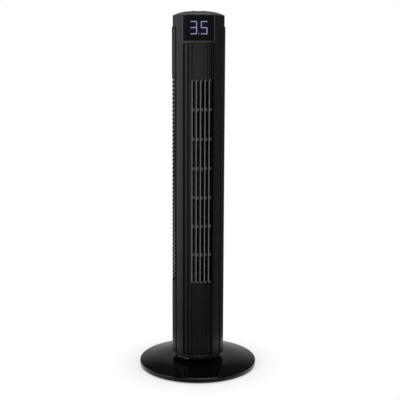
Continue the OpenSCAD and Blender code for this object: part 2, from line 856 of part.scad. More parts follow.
// The scroll opens from the intake's far edge round to the outlet's right side
module air_duct() {
    r0 = impeller_r + 2;
    r1 = front_in_r - 6;
    steps = 16;
    end_deg = 1.8;
    arc = [for (i = [0:steps])
        let (s = i / steps) [r0 + (r1 - r0) * s, scroll_a0 + (scroll_a1 - scroll_a0) * s]];
    color([0.06, 0.06, 0.06])
        translate([0, 0, duct_z0])
            linear_extrude(height = duct_z1 - duct_z0)
                polygon(concat([for (p = arc) at(p[0], p[1])],
                    [at(front_in_r - 0.1, scroll_a1), at(front_in_r - 0.1, scroll_a1 + end_deg),
                    at(r1 + duct_t, scroll_a1 + end_deg)],
                    [for (i = [steps - 1:-1:1]) at(arc[i][0] + duct_t, arc[i][1])],
                    [at(r0 + duct_t, scroll_a0 - end_deg), at(front_in_r - 0.4, scroll_a0 - end_deg),
                    at(front_in_r - 0.4, scroll_a0)]));
}

// The tongue closes the left side, from the intake's near edge to the outlet
module duct_tongue() {
    r0 = impeller_r + 2;
    steps = 10;
    end_deg = 1.8;
    arc = [for (i = [0:steps]) tongue_a0 + (tongue_a1 - tongue_a0) * i / steps];
    color([0.06, 0.06, 0.06])
        translate([0, 0, duct_z0])
            linear_extrude(height = duct_z1 - duct_z0)
                polygon(concat([for (a = arc) at(r0, a)],
                    [at(flute_in_r - 0.1, tongue_a1), at(flute_in_r - 0.1, tongue_a1 - end_deg),
                    at(r0 + duct_t, tongue_a1 - end_deg)],
                    [for (i = [steps - 1:-1:1]) at(r0 + duct_t, arc[i])],
                    [at(r0 + duct_t, tongue_a0 + end_deg), at(front_in_r - 0.1, tongue_a0 + end_deg),
                    at(front_in_r - 0.1, tongue_a0)]));
}

// A deck plate across the tower, with tabs that reach the rear housing
deck_tabs = [10, 66, 114, 170];
module deck(z0, hole_r) {
    difference() {
        union() {
            tube(flute_in_r - panel_gap, hole_r, z0, z0 + deck_t);
            intersection() {
                tube(rear_in_r - panel_gap / 2, hole_r, z0, z0 + deck_t);
                for (a = deck_tabs)
                    rotate([0, 0, a])
                        block([flute_in_r - 6, -5, z0], [rear_r, 5, z0 + deck_t]);
            }
        }
        for (a = [45:90:359])
            rotate([0, 0, a])
                rod(motor_screw_r, 0, 2.2, z0 - 1, z0 + deck_t + 1);
        rod(loom_x, 0, loom_r + 0.4, z0 - 1, z0 + deck_t + 1);
    }
}
motor_screw_r = motor_r - 5;
rotor_air_gap = 0.5;
rotor_r = motor_r - 1 - core_w - rotor_air_gap;
motor_z1 = duct_z0 - deck_t;
stack_z1 = motor_z1 - bell_h;
stack_z0 = stack_z1 - stack_h;
motor_z0 = stack_z0 - bell_h;

module motor_plate() {
    color([0.45, 0.45, 0.47])
        deck(duct_z0 - deck_t, hub_r + 2);
}

module motor_stator() {
    slots = 8;
    color([0.4, 0.41, 0.43])
        difference() {
            tube(motor_r - 1, rotor_r + rotor_air_gap, stack_z0, stack_z1);
            for (a = [0:360 / slots:359])
                rotate([0, 0, a + 22.5])
                    block([rotor_r + 2.5, -3.2, stack_z0 - 1], [motor_r - 9, 3.2, stack_z1 + 1]);
            for (a = [45:90:359])
                rotate([0, 0, a])
                    rod(motor_screw_r, 0, 2.2, stack_z0 - 1, stack_z1 + 1);
        }
}

winding_h = 9;
module motor_windings() {
    color([0.7, 0.35, 0.15])
        for (z = [stack_z0 - winding_h, stack_z1])
            tube(motor_r - 10, rotor_r + 2.5, z, z + winding_h);
}

// One bell: a cup with a hub for the bearing; it opens towards the stack
bearing_r = 8;
bearing_t = 6;
module bell() {
    shell = 1.8;
    hub = 2;
    difference() {
        rotate_extrude()
            polygon([[motor_r, 0], [motor_r, bell_h - 3], [motor_r - 3, bell_h], [shaft_r + 1.5, bell_h],
                [shaft_r + 1.5, bell_h - shell], [bearing_r, bell_h - shell],
                [bearing_r, bell_h - shell - bearing_t], [bearing_r + hub, bell_h - shell - bearing_t],
                [bearing_r + hub, bell_h - shell], [motor_r - 3 - shell * 0.4, bell_h - shell],
                [motor_r - shell, bell_h - 3 - shell * 0.4], [motor_r - shell, 0]]);
        for (a = [45:90:359])
            rotate([0, 0, a])
                rod(motor_screw_r, 0, 2.2, -1, bell_h + 1);
    }
}
module motor_upper_bell() {
    color([0.6, 0.6, 0.62])
        translate([0, 0, stack_z1])
            bell();
}
module motor_lower_bell() {
    color([0.6, 0.6, 0.62])
        translate([0, 0, stack_z0])
            mirror([0, 0, 1])
                bell();
}

module motor_bearings() {
    color([0.7, 0.6, 0.35]) {
        tube(bearing_r, shaft_r + running_gap, motor_z1 - 1.8 - bearing_t, motor_z1 - 1.8);
        tube(bearing_r, shaft_r + running_gap, motor_z0 + 1.8, motor_z0 + 1.8 + bearing_t);
    }
}

module motor_screws() {
    color([0.6, 0.6, 0.62])
        for (a = [45:90:359])
            rotate([0, 0, a])
                translate([motor_screw_r, 0, motor_z0])
                    rotate([180, 0, 0])
                        screw(3.6, 2.2, 2, duct_z0 - motor_z0 - 0.4);
}

module motor_rotor() {
    ring = 3;
    color([0.5, 0.5, 0.52])
        tube(rotor_r, shaft_r, stack_z0 - ring, stack_z1 + ring);
}

hub_r = 11;
hub_h = 14;
module motor_shaft() {
    color([0.75, 0.75, 0.78])
        rod_shaft(motor_z0 - 4, impeller_z0 + hub_h + 2);
}
module rod_shaft(z0, z1) {
    translate([0, 0, z0])
        cylinder(h = z1 - z0, r = shaft_r);
}

// A hub with a flat seat for the set screw that clamps it on the shaft
module impeller_hub() {
    color([0.55, 0.55, 0.58])
        difference() {
            union() {
                tube(hub_r - 2, shaft_r, impeller_z0 - 1.5, impeller_z0 + hub_h);
                tube(hub_r, shaft_r, impeller_z0, impeller_z0 + disc_t);
            }
            translate([0, 0, impeller_z0 + hub_h - 5])
                rotate([0, 90, 0])
                    cylinder(h = hub_r, r = 1.5, $fn = 32);
        }
}

disc_t = 3;
thin_disc_t = 1.6;
blade_r0 = impeller_r - 10;

// One curved blade's section: a crescent between the disc's inner edge and rim
module blade_section() {
    blade_t = 1;
    lean = 13;
    steps = 6;
    line = [for (i = [0:steps]) let (s = i / steps)
        [blade_r0 + 0.5 + (impeller_r - 1 - blade_r0) * s, lean * s * (1.6 - s)]];
    thick = [for (i = [0:steps]) blade_t * (0.45 + 0.55 * sin(180 * i / steps)) / 2 * 180 / PI / line[i][0]];
    polygon(concat(
        [for (i = [0:steps]) line[i][0] * [cos(line[i][1] - thick[i]), sin(line[i][1] - thick[i])]],
        [for (i = [steps:-1:0]) line[i][0] * [cos(line[i][1] + thick[i]), sin(line[i][1] + thick[i])]]));
}

module impeller() {
    span = impeller_z1 - impeller_z0;
    color([0.1, 0.1, 0.105])
        union() {
            tube(impeller_r, hub_r, impeller_z0, impeller_z0 + disc_t);
            tube(impeller_r, stub_r, impeller_z1 - disc_t, impeller_z1);
            for (i = [1:disc_count]) {
                z = impeller_z0 + span * i / (disc_count + 1);
                tube(impeller_r, blade_r0 - 1.5, z - thin_disc_t / 2, z + thin_disc_t / 2);
            }
            translate([0, 0, impeller_z0 + disc_t / 2])
                linear_extrude(height = span - disc_t)
                    for (i = [0:blade_count - 1])
                        rotate(i * 360 / blade_count)
                            blade_section();
        }
}

// The stub at the wheel's top end runs in the upper bearing
stub_r = 6;
stub_pin_r = 4;
module impeller_stub() {
    color([0.75, 0.75, 0.78]) {
        rod_stub(stub_r, impeller_z1 - disc_t, impeller_z1 + 0.6);
        rod_stub(stub_pin_r, impeller_z1 + 0.6 - eps, duct_z1 + deck_t + 5);
    }
}
module rod_stub(r, z0, z1) {
    translate([0, 0, z0])
        cylinder(h = z1 - z0, r = r);
}

upper_bearing_r = 8.5;
module bearing_bracket() {
    color([0.06, 0.06, 0.06]) {
        deck(duct_z1, upper_bearing_r);
        tube(upper_bearing_r + 2.5, upper_bearing_r, duct_z1 + deck_t - eps, duct_z1 + deck_t + 4);
        tube(upper_bearing_r + 2.5, stub_pin_r + 2, duct_z1 + deck_t + 4 - eps, duct_z1 + deck_t + 5.4);
    }
}
module upper_bearing() {
    color([0.7, 0.6, 0.35])
        tube(upper_bearing_r, stub_pin_r + running_gap, duct_z1 + 0.4, duct_z1 + deck_t + 4);
}

/* Drive and electrics in the foot of the tower */

swing_motor_h = 19;
swing_motor_r = 14;
module swing_motor() {
    color([0.65, 0.66, 0.68])
        difference() {
            union() {
                rod(0, swing_motor_y, swing_motor_r, swing_motor_z0, swing_motor_z0 + swing_motor_h);
                block([-ear_x, swing_motor_y - 3.5, swing_motor_z0],
                    [ear_x, swing_motor_y + 3.5, swing_motor_z0 + 1]);
                for (x = [-ear_x, ear_x])
                    rod(x, swing_motor_y, 3.5, swing_motor_z0, swing_motor_z0 + 1);
            }
            for (x = [-ear_x, ear_x])
                rod(x, swing_motor_y, 1.7, swing_motor_z0 - 1, swing_motor_z0 + 2);
            rod(0, pinion_y, swing_shaft_r + running_gap, swing_motor_z0 - 1, swing_motor_z0 + 8);
        }
}
module swing_motor_screws() {
    color([0.6, 0.6, 0.62])
        for (x = [-ear_x, ear_x])
            translate([x, swing_motor_y, swing_motor_z0 + 1])
                screw(2.8, 1.8, 1.2, 7);
}

swing_shaft_r = 2;
module swing_shaft() {
    color([0.75, 0.75, 0.78])
        translate([0, pinion_y, deck_floor_z + 1])
            cylinder(h = swing_motor_z0 + 7.6 - deck_floor_z - 1, r = swing_shaft_r, $fn = 48);
}
module swing_pinion() {
    color([0.85, 0.85, 0.8])
        translate([0, pinion_y, gear_z0])
            linear_extrude(height = gear_t)
                rotate(90 + 180 / pinion_teeth * (1 + pinion_teeth % 2))
                    gear_outline(pinion_teeth, 0.9, swing_shaft_r);
}

// Supply board on the turntable's four studs: board, transformer, relay, sockets
transformer = [22, 22, 18];
relay = [16, 10, 12];
sockets = [5, 20, 9];
edge_gap = 2;
module on_board(x, y, size) {
    translate([x - size[0] / 2, y - size[1] / 2, power_board_z + board_t - eps])
        cube(size);
}
module power_board() {
    z = power_board_z;
    color([0.45, 0.3, 0.12]) {
        difference() {
            block([-board_half_x, -board_half_y, z], [board_half_x, board_half_y, z + board_t]);
            for (p = board_stud)
                rod(p[0], p[1], 1.3, z - 1, z + board_t + 1);
        }
        on_board(board_half_x - 20, -1, transformer);
        on_board(0, board_half_y - edge_gap - relay[1] / 2, relay);
        on_board(-board_half_x + edge_gap + sockets[0] / 2, 0, sockets);
    }
}
capacitor_r = 8;
capacitor_h = 26;
module motor_capacitor() {
    color([0.8, 0.8, 0.82])
        rod(-14, -4, capacitor_r, power_board_z + board_t, power_board_z + board_t + capacitor_h);
}

module housing_screws() {
    color([0.5, 0.5, 0.52]) {
        for (x = [-upright_x, upright_x])
            translate([x, screw_seat_y, housing_screw_z])
                rotate([-90, 0, 0])
                    screw(2.8, 1.6, 1.3, 12);
        for (a = [-front_screw_az, front_screw_az])
            rotate([0, 0, FRONT + a])
                translate([front_screw_r, 0, underside_z])
                    rotate([180, 0, 0])
                        screw(2.8, 0.7, 1.3, 12);
    }
}

// The harness up the tower's right side, from the supply board to the head
loom_r = 2.2;
loom_bend = 6;
loom_x = front_in_r - loom_r - 0.5;
module elbow() {
    rotate_extrude(angle = 90)
        translate([loom_bend, 0])
            circle(r = loom_r, $fn = 32);
}
module wiring_loom() {
    x1 = loom_x;
    x0 = board_half_x;
    x2 = panel_r - 10;
    z0 = power_board_z + board_t / 2;
    z2 = switch_z1 - switch_h - board_t;
    z1 = z2 - loom_bend * 2;
    color([0.06, 0.06, 0.06]) {
        translate([x0, 0, z0])
            rotate([0, 90, 0])
                cylinder(h = x1 - loom_bend - x0, r = loom_r, $fn = 32);
        translate([x1 - loom_bend, 0, z0 + loom_bend])
            rotate([90, 90, 0])
                mirror([0, 1, 0])
                    rotate([0, 0, -90])
                        elbow();
        rod(x1, 0, loom_r, z0 + loom_bend, z1 - loom_bend);
        translate([x1 - loom_bend, 0, z1 - loom_bend])
            rotate([90, 0, 0])
                elbow();
        translate([x2 + loom_bend, 0, z1])
            rotate([0, 90, 0])
                cylinder(h = x1 - x2 - 2 * loom_bend, r = loom_r, $fn = 32);
        translate([x2 + loom_bend, 0, z1 + loom_bend])
            rotate([90, 180, 0])
                elbow();
        rod(x2, 0, loom_r, z1 + loom_bend, z2);
    }
}

module button_power() { button(0); }
module button_speed() { button(1); }
module button_mode() { button(2); }
module button_swing() { button(3); }
module button_timer() { button(4); }

base_cover();
base_plate();
ballast_ring();
rubber_feet();
base_screws();
pivot_post();
swing_gear();
gear_retainer();
retainer_screws();
thrust_washer();
cord_gland();
turntable();
front_housing();
outlet_grille();
rear_housing();
intake_grille();
top_cap();
control_panel();
display_lens();
display_digits();
display_board();
control_board();
button_switches();
air_duct();
duct_tongue();
motor_plate();
motor_stator();
motor_windings();
motor_upper_bell();
motor_lower_bell();
motor_bearings();
motor_capacitor();
motor_screws();
power_board();
bearing_bracket();
upper_bearing();
swing_motor();
swing_motor_screws();
housing_screws();
wiring_loom();
impeller();
impeller_stub();
impeller_hub();
motor_shaft();
motor_rotor();
swing_pinion();
swing_shaft();
button_power();
button_speed();
button_mode();
button_swing();
button_timer();
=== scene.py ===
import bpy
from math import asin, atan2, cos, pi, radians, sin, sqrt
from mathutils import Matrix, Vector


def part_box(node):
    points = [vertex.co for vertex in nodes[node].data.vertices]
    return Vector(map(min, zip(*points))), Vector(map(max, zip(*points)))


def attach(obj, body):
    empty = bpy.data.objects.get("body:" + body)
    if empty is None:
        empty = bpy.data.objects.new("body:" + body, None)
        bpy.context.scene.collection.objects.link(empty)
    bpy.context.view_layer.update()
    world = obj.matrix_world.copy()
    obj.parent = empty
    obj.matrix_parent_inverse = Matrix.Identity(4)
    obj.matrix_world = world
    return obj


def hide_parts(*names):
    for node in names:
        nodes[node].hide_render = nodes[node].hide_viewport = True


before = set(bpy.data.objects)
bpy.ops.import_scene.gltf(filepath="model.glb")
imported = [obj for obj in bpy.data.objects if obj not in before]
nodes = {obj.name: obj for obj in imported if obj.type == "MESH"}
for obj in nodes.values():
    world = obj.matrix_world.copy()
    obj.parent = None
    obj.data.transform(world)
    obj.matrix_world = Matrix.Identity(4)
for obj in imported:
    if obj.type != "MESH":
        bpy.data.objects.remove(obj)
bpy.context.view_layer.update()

# %% [markdown]
# # A tower fan, dressed for its portrait
#
# The imported model gives every mechanical part at its real size and place. These cells add the looks:
# a camera and a pale studio, then the mouldings that show, each modelled with Blender's own tools,
# and the finishes.

MM = 0.001

# %% [markdown]
# ## The camera
#
# A product portrait is taken from far enough away that the upright lines stay upright. A real camera
# stood about 1.8 m off at two thirds of the fan's height and looked a little down. A long lens of
# 74 mm on a 36 mm sensor gives the same shape here, and a fifth of a degree of roll is kept, since a
# hand-set tripod is never quite level.

# %% Setting up the camera
LENS_MM = 73.76
CAMERA_AT = (0.00413, -1.81848, 0.67951)
CAMERA_PITCH = 9.293
CAMERA_ROLL = 0.181

camera_data = bpy.data.cameras.new("portrait_camera")
camera_data.lens = LENS_MM
camera_data.sensor_width = 36
camera = bpy.data.objects.new("portrait_camera", camera_data)
bpy.context.scene.collection.objects.link(camera)
camera.matrix_world = (Matrix.Translation(CAMERA_AT)
                       @ Matrix.Rotation(radians(90 - CAMERA_PITCH), 4, "X")
                       @ Matrix.Rotation(radians(CAMERA_ROLL), 4, "Z"))
bpy.context.scene.camera = camera
bpy.context.scene.view_settings.view_transform = "Standard"
print("camera", LENS_MM, "mm at", CAMERA_AT)

# %% [markdown]
# ## Materials as recipes
#
# Every finish starts from the Principled shader. This helper clears a new material and hands back
# its node tree and its shader, so that each finish below only says what is particular to it. A
# second helper adds a node and fills its inputs, with a plain value or with a link, in one go.

# %% Two helpers for node trees
def add_node(tree, kind, given=(), **settings):
    """A node with its settings; given pairs an input with a plain value or the socket that feeds it."""
    node = tree.nodes.new(kind)
    for name, value in settings.items():
        setattr(node, name, value)
    for label, value in dict(given).items():
        if isinstance(value, bpy.types.NodeSocket):
            tree.links.new(value, node.inputs[label])
        else:
            node.inputs[label].default_value = value
    return node


def blank_material(name):
    material = bpy.data.materials.new(name)
    material.use_nodes = True
    tree = material.node_tree
    tree.nodes.clear()
    shader = add_node(tree, "ShaderNodeBsdfPrincipled")
    add_node(tree, "ShaderNodeOutputMaterial", {"Surface": shader.outputs["BSDF"]})
    return material, tree, shader


# %% [markdown]
# ## The studio
#
# The fan stands on a white sweep that has been lit until it vanishes. Close to the base the floor is
# honest matt white, which keeps the soft shadow; further out it turns into a steady white. What a
# glossy surface mirrors is another matter. A black plastic has almost no colour of its own, so the
# room it mirrors is drawn with care, on the floor and in the air alike: bright to the viewer's left,
# a low pale backdrop behind, a glow low down in front, and dim at the right and overhead.

# %% Small helpers for node arithmetic
LEFT_LEVEL, FRONT_LEVEL, RIGHT_LEVEL = 0.75, 0.8, 0.14
ROOM_DARK = 0.04


def ramp(tree, value, from_min, from_max, to_min=0.0, to_max=1.0):
    """A smooth step from one level to another as value goes through a span."""
    given = {"Value": value, "From Min": from_min, "From Max": from_max, "To Min": to_min, "To Max": to_max}
    return add_node(tree, "ShaderNodeMapRange", given, interpolation_type="SMOOTHSTEP").outputs["Result"]


def combine(tree, operation, first, second):
    """One arithmetic node; each side is a socket or a number."""
    return add_node(tree, "ShaderNodeMath", {0: first, 1: second}, operation=operation).outputs[0]


def mix(tree, kind, share, first, second):
    """Blends two values ("FLOAT") or colours ("RGBA"): share 0 gives the first, 1 the second."""
    given = {"Factor": share, "A": first, "B": second}
    return add_node(tree, "ShaderNodeMix", given, data_type=kind).outputs["Result"]


def ray_kinds(tree):
    """The light path node and 1 for a ray that should see the plain white: straight or through glass."""
    path = add_node(tree, "ShaderNodeLightPath")
    return path, combine(tree, "MAXIMUM", path.outputs["Is Camera Ray"], path.outputs["Is Transmission Ray"])


print("room levels: left", LEFT_LEVEL, "front", FRONT_LEVEL, "right", RIGHT_LEVEL, "elsewhere", ROOM_DARK)

# %% [markdown]
# ### The floor
#
# A real sweep is paper or painted board. It could be one emissive sheet, but then the fan would cast
# no shadow and seem to float. So it is a matt plane near the base that blends into a plain glow.

# %% A white floor that keeps its shadow
FLOOR_SIZE = 60
SHADOW_NEAR, SHADOW_FAR = 0.12, 0.21
NEAR_GLOW = 0.45

bpy.ops.object.select_all(action="DESELECT")
bpy.ops.mesh.primitive_plane_add(size=FLOOR_SIZE, location=(0, 0, 0))
floor = bpy.context.object
floor.name = "studio_floor"
floor_material, floor_tree, floor_shader = blank_material("studio_white")
for label, value in (("Base Color", (0.9, 0.9, 0.9, 1)), ("Roughness", 0.9), ("Specular IOR Level", 0.1)):
    floor_shader.inputs[label].default_value = value

spot = add_node(floor_tree, "ShaderNodeTexCoord").outputs["Object"]
reach = add_node(floor_tree, "ShaderNodeVectorMath", {0: spot}, operation="LENGTH")
heading = add_node(floor_tree, "ShaderNodeVectorMath", {0: spot}, operation="NORMALIZE")
bearing = add_node(floor_tree, "ShaderNodeSeparateXYZ", {"Vector": heading.outputs["Vector"]})


def ahead(tree, axis, start, full, level, distance=None, near=1.0):
    """The light that a direction mirrors: it grows along an axis, and on the floor with distance too."""
    glow = ramp(tree, axis, start, full, 0, level)
    if distance is None:
        return glow
    return combine(tree, "MULTIPLY", glow, ramp(tree, reach.outputs["Value"], *distance, near, 1))


sides = [ahead(floor_tree, bearing.outputs["X"], -0.5, -0.95, LEFT_LEVEL, (0.15, 1.8), 0.35),
         ahead(floor_tree, bearing.outputs["Y"], -0.5, -0.9, FRONT_LEVEL, (0.4, 4.0), 0.12),
         ahead(floor_tree, bearing.outputs["X"], 0.5, 0.95, RIGHT_LEVEL),
         ahead(floor_tree, bearing.outputs["Y"], 0.90, 0.97, 1)]
sideways = combine(floor_tree, "POWER", bearing.outputs["X"], 2)
round_base = combine(floor_tree, "MULTIPLY", combine(floor_tree, "ADD", sideways, 0.25),
                     ramp(floor_tree, reach.outputs["Value"], 0.17, 0.24, 0.8, 0))
mirrored = combine(floor_tree, "MAXIMUM", round_base, ROOM_DARK)
for side in sides:
    mirrored = combine(floor_tree, "MAXIMUM", mirrored, side)

path, straight = ray_kinds(floor_tree)
open_white = ramp(floor_tree, reach.outputs["Value"], SHADOW_NEAR, SHADOW_FAR, NEAR_GLOW, 1)
share = combine(floor_tree, "MAXIMUM", combine(floor_tree, "MULTIPLY", straight, open_white),
                path.outputs["Is Glossy Ray"])
level = mix(floor_tree, "FLOAT", path.outputs["Is Glossy Ray"], 1, mirrored)
glow = add_node(floor_tree, "ShaderNodeEmission", {"Color": (1, 1, 1, 1), "Strength": level})
floor_mix = add_node(floor_tree, "ShaderNodeMixShader",
                     {"Fac": share, 1: floor_shader.outputs["BSDF"], 2: glow.outputs["Emission"]})
floor_output = next(n for n in floor_tree.nodes if n.type == "OUTPUT_MATERIAL")
floor_tree.links.new(floor_mix.outputs["Shader"], floor_output.inputs["Surface"])
floor.data.materials.append(floor_material)
print("floor", FLOOR_SIZE, "m square")

# %% [markdown]
# ## The air round it
#
# The world does for the air what the floor's material does for the floor. Straight rays see pure
# white. Mirrored rays see the low backdrop behind fade out upwards, since it was only as tall as a
# person, the bright side at the left and the glow in front. All other rays get an even fill.

# %% A world that is white to the eye and graded to a reflection
ROOM_FILL = 0.55
BACKDROP_TOP = 0.54
BACKDROP_LEVEL = 0.72

world = bpy.data.worlds.new("studio_air")
bpy.context.scene.world = world
world.use_nodes = True
air = world.node_tree
air.nodes.clear()
toward = add_node(air, "ShaderNodeTexCoord")
axes = add_node(air, "ShaderNodeSeparateXYZ", {"Vector": toward.outputs["Generated"]})
left_wall = combine(air, "MULTIPLY", ahead(air, axes.outputs["X"], -0.5, -0.95, LEFT_LEVEL),
                    ramp(air, axes.outputs["Z"], 0.9, 0.2, 0.1, 1))
front_wall = combine(air, "MULTIPLY", ahead(air, axes.outputs["Y"], -0.5, -0.9, FRONT_LEVEL),
                     ramp(air, axes.outputs["Z"], 0.2, 0.04))
aside = combine(air, "ABSOLUTE", axes.outputs["X"], 0)
backdrop = combine(air, "MULTIPLY", ramp(air, axes.outputs["Z"], BACKDROP_TOP, 0),
                   combine(air, "MULTIPLY", ramp(air, aside, 0.44, 0.24, 0, BACKDROP_LEVEL),
                           ramp(air, axes.outputs["Y"], 0, 0.3)))
mirrored = ahead(air, axes.outputs["X"], 0.5, 0.95, RIGHT_LEVEL)
for wall in (left_wall, front_wall, backdrop, ROOM_DARK):
    mirrored = combine(air, "MAXIMUM", mirrored, wall)
path, straight = ray_kinds(air)
mirror_or_fill = mix(air, "FLOAT", path.outputs["Is Glossy Ray"], ROOM_FILL, mirrored)
strength = mix(air, "FLOAT", straight, mirror_or_fill, 1)
background = add_node(air, "ShaderNodeBackground", {"Color": (1, 1, 1, 1), "Strength": strength})
add_node(air, "ShaderNodeOutputWorld", {"Surface": background.outputs["Background"]})
print("air: fill", ROOM_FILL, "mirrored", ROOM_DARK, "to 1")

# %% [markdown]
# ## Two softboxes
#
# A tall, weak softbox at the left and a little in front adds a soft light down the left side. A wide,
# stronger one overhead lights the cap and draws the thin bright line on the base's rim.

# %% Lamps
def softbox(name, size, at, aim, watts):
    data = bpy.data.lights.new(name, "AREA")
    data.shape = "RECTANGLE"
    data.size = size[0]
    data.size_y = size[1]
    data.energy = watts
    lamp = bpy.data.objects.new(name, data)
    bpy.context.scene.collection.objects.link(lamp)
    lamp.location = at
    lamp.rotation_euler = (Vector(aim) - Vector(at)).to_track_quat("-Z", "Y").to_euler()
    return lamp


softbox("softbox_left", (1.0, 1.4), (-2.2, -1.1, 1.6), (0, 0, 0.7), 9)
softbox("softbox_top", (1.4, 1.4), (0.2, -0.3, 2.4), (0, 0, 0), 26)

# %% [markdown]
# ## Drawing with a single vertex
#
# Most of this fan is either turned, like the base, or drawn as a plan and pulled up, like the front
# housing. Both begin as a line. A plane is added and merged to one vertex, and that vertex is
# extruded from point to point. A turned piece is then spun about the axis; an upright one is filled
# and extruded. Doing it with the operators keeps each step what a person would do by hand.

# %% Helpers that draw, spin and pull up
AXIS = Vector((0, 0, 0))


def select_none():
    if bpy.context.object and bpy.context.object.mode == "EDIT":
        bpy.ops.object.mode_set(mode="OBJECT")
    bpy.ops.object.select_all(action="DESELECT")


def pick_all():
    bpy.ops.mesh.select_all(action="SELECT")


def picked_only(piece):
    """Makes a piece the active and only selected object."""
    select_none()
    bpy.context.view_layer.objects.active = piece
    piece.select_set(True)


def oblong(r0, r1, z0, z1):
    """A plain rectangle as a profile of (radius, height)."""
    return [(r0, z0), (r1, z0), (r1, z1), (r0, z1)]


def draw_line(name, points, closed=False):
    """A line of vertices through points, drawn by extruding one vertex; left in edit mode."""
    select_none()
    bpy.ops.mesh.primitive_plane_add(size=MM, location=points[0])
    piece = bpy.context.object
    piece.name = name
    piece.data.name = name
    bpy.ops.object.transform_apply(location=True, rotation=False, scale=False)
    bpy.ops.object.mode_set(mode="EDIT")
    bpy.ops.mesh.select_mode(type="VERT")
    pick_all()
    bpy.ops.mesh.merge(type="CENTER")
    for here, there in zip(points, points[1:]):
        step = Vector(there) - Vector(here)
        bpy.ops.mesh.extrude_region_move(TRANSFORM_OT_translate={"value": step})
    if closed:
        pick_all()
        bpy.ops.mesh.remove_doubles(threshold=0.00001)
        bpy.ops.mesh.edge_face_add()
    return piece


def finish_mesh(piece, smooth_deg=30, merge=0.000005):
    """Merges doubles, turns every face outwards and smooths all but the sharp edges."""
    bpy.ops.object.mode_set(mode="EDIT")
    pick_all()
    bpy.ops.mesh.remove_doubles(threshold=merge)
    bpy.ops.mesh.normals_make_consistent(inside=False)
    bpy.ops.object.mode_set(mode="OBJECT")
    bpy.ops.object.shade_smooth_by_angle(angle=radians(smooth_deg))
    piece.select_set(False)
    return piece


def swept_clean(piece):
    """Deletes the bare edge that a spin leaves on the axis of a piece that is closed there."""
    bpy.context.view_layer.objects.active = piece
    piece.select_set(True)
    bpy.ops.object.mode_set(mode="EDIT")
    pick_all()
    bpy.ops.mesh.delete_loose()
    bpy.ops.object.mode_set(mode="OBJECT")
    piece.select_set(False)
    return piece


def turn(name, profile, steps=128, smooth_deg=30, center=AXIS):
    """A turned piece: a closed profile of (radius, height) in the XZ plane, spun about Z."""
    loop = [(center.x + r, center.y, z) for r, z in profile]
    piece = draw_line(name, loop + loop[:1])
    pick_all()
    bpy.ops.mesh.remove_doubles(threshold=0.000001)
    pick_all()
    bpy.ops.mesh.spin(steps=steps, angle=2 * pi, center=center, axis=(0, 0, 1))
    finish_mesh(piece, smooth_deg)
    return swept_clean(piece)


def pull_up(name, plan, z0, z1, smooth_deg=30):
    """An upright piece: a closed plan of (x, y), filled and extruded from z0 to z1."""
    loop = [(x, y, z0) for x, y in plan]
    piece = draw_line(name, loop + loop[:1], closed=True)
    pick_all()
    bpy.ops.mesh.extrude_region_move(TRANSFORM_OT_translate={"value": (0, 0, z1 - z0)})
    return finish_mesh(piece, smooth_deg)


def arc(cx, cy, r, a0, a1, steps):
    """Points of an arc about (cx, cy), from angle a0 to a1 in degrees."""
    return [(cx + r * cos(radians(a0 + (a1 - a0) * i / steps)),
             cy + r * sin(radians(a0 + (a1 - a0) * i / steps))) for i in range(steps + 1)]


def round_edges(piece, width, segments=2, angle=35):
    """Bevels the sharp edges and applies it, since a moulded edge is never quite sharp."""
    picked_only(piece)
    bevel = piece.modifiers.new("edge_round", "BEVEL")
    bevel.width = width
    bevel.segments = segments
    bevel.limit_method = "ANGLE"
    bevel.angle_limit = radians(angle)
    bpy.ops.object.modifier_apply(modifier=bevel.name)
    bpy.ops.object.shade_smooth_by_angle(angle=radians(40))
    piece.select_set(False)
    return piece


def carve(piece, cutter, operation="DIFFERENCE"):
    """Cuts a piece with another, applies it and throws the cutter away."""
    picked_only(piece)
    cut = piece.modifiers.new("carve", "BOOLEAN")
    cut.operation = operation
    cut.object = cutter
    bpy.ops.object.modifier_apply(modifier=cut.name)
    bpy.data.objects.remove(cutter)
    return piece


def measured(piece):
    """Prints a piece's size in millimetres and its number of faces."""
    size = [round(v / MM, 1) for v in piece.dimensions]
    print(piece.name, "size", size, "faces", len(piece.data.polygons))
    return piece


# %% [markdown]
# ## The base
#
# The base is a heavy disc under one gloss-black moulding. Its profile runs up a short side wall,
# over a rounded rim, along a dome so shallow that it is nearly a cone, and up a hollow curve into
# the neck. A smooth flowing curve matters more here than anywhere, since gloss shows every kink.

# %% Turning the base cover
base_low, base_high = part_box("base_cover")
BASE_R = base_high.x
RIM_R = 0.0026
RIM_TOP = 0.0125
NECK_R = 0.047
NECK_TOP = base_high.z
BASE_WALL = 0.0024
FLARE = 0.0085
DOME_RISE = 0.0066
DOME_SAG = 0.0015


def base_profile(inset):
    """The cover's line from its lower edge to the top of the neck, moved in by inset."""
    r_round = RIM_R - inset if inset < RIM_R else 0.0002
    rim = arc(BASE_R - RIM_R, RIM_TOP - RIM_R - 0.0001, r_round, 0, 86, 8)
    steps = 40
    r0, r1 = BASE_R - RIM_R - 0.0003, NECK_R + FLARE + 0.0012
    dome = [(r0 + (r1 - r0) * i / steps,
             RIM_TOP - inset + DOME_RISE * i / steps + DOME_SAG * sin(pi * i / steps))
            for i in range(1, steps + 1)]
    foot_z = RIM_TOP + DOME_RISE - inset
    flare = [(NECK_R - inset + FLARE * (1 - sin(radians(a))),
              foot_z + 0.0003 + FLARE * (1 - cos(radians(a)))) for a in range(8, 91, 8)]
    return [(BASE_R - inset, base_low.z)] + rim + dome + flare


outside = base_profile(0)
inside = base_profile(BASE_WALL)
top_lip = arc(NECK_R - 0.0008, NECK_TOP - 0.0008, 0.0008, 0, 90, 4)
base_cover = turn("base_shell", outside + top_lip + [(0.0143, NECK_TOP), (0.0143, NECK_TOP - BASE_WALL),
                  (NECK_R - BASE_WALL, NECK_TOP - BASE_WALL)] + inside[::-1], steps=180)
measured(base_cover)

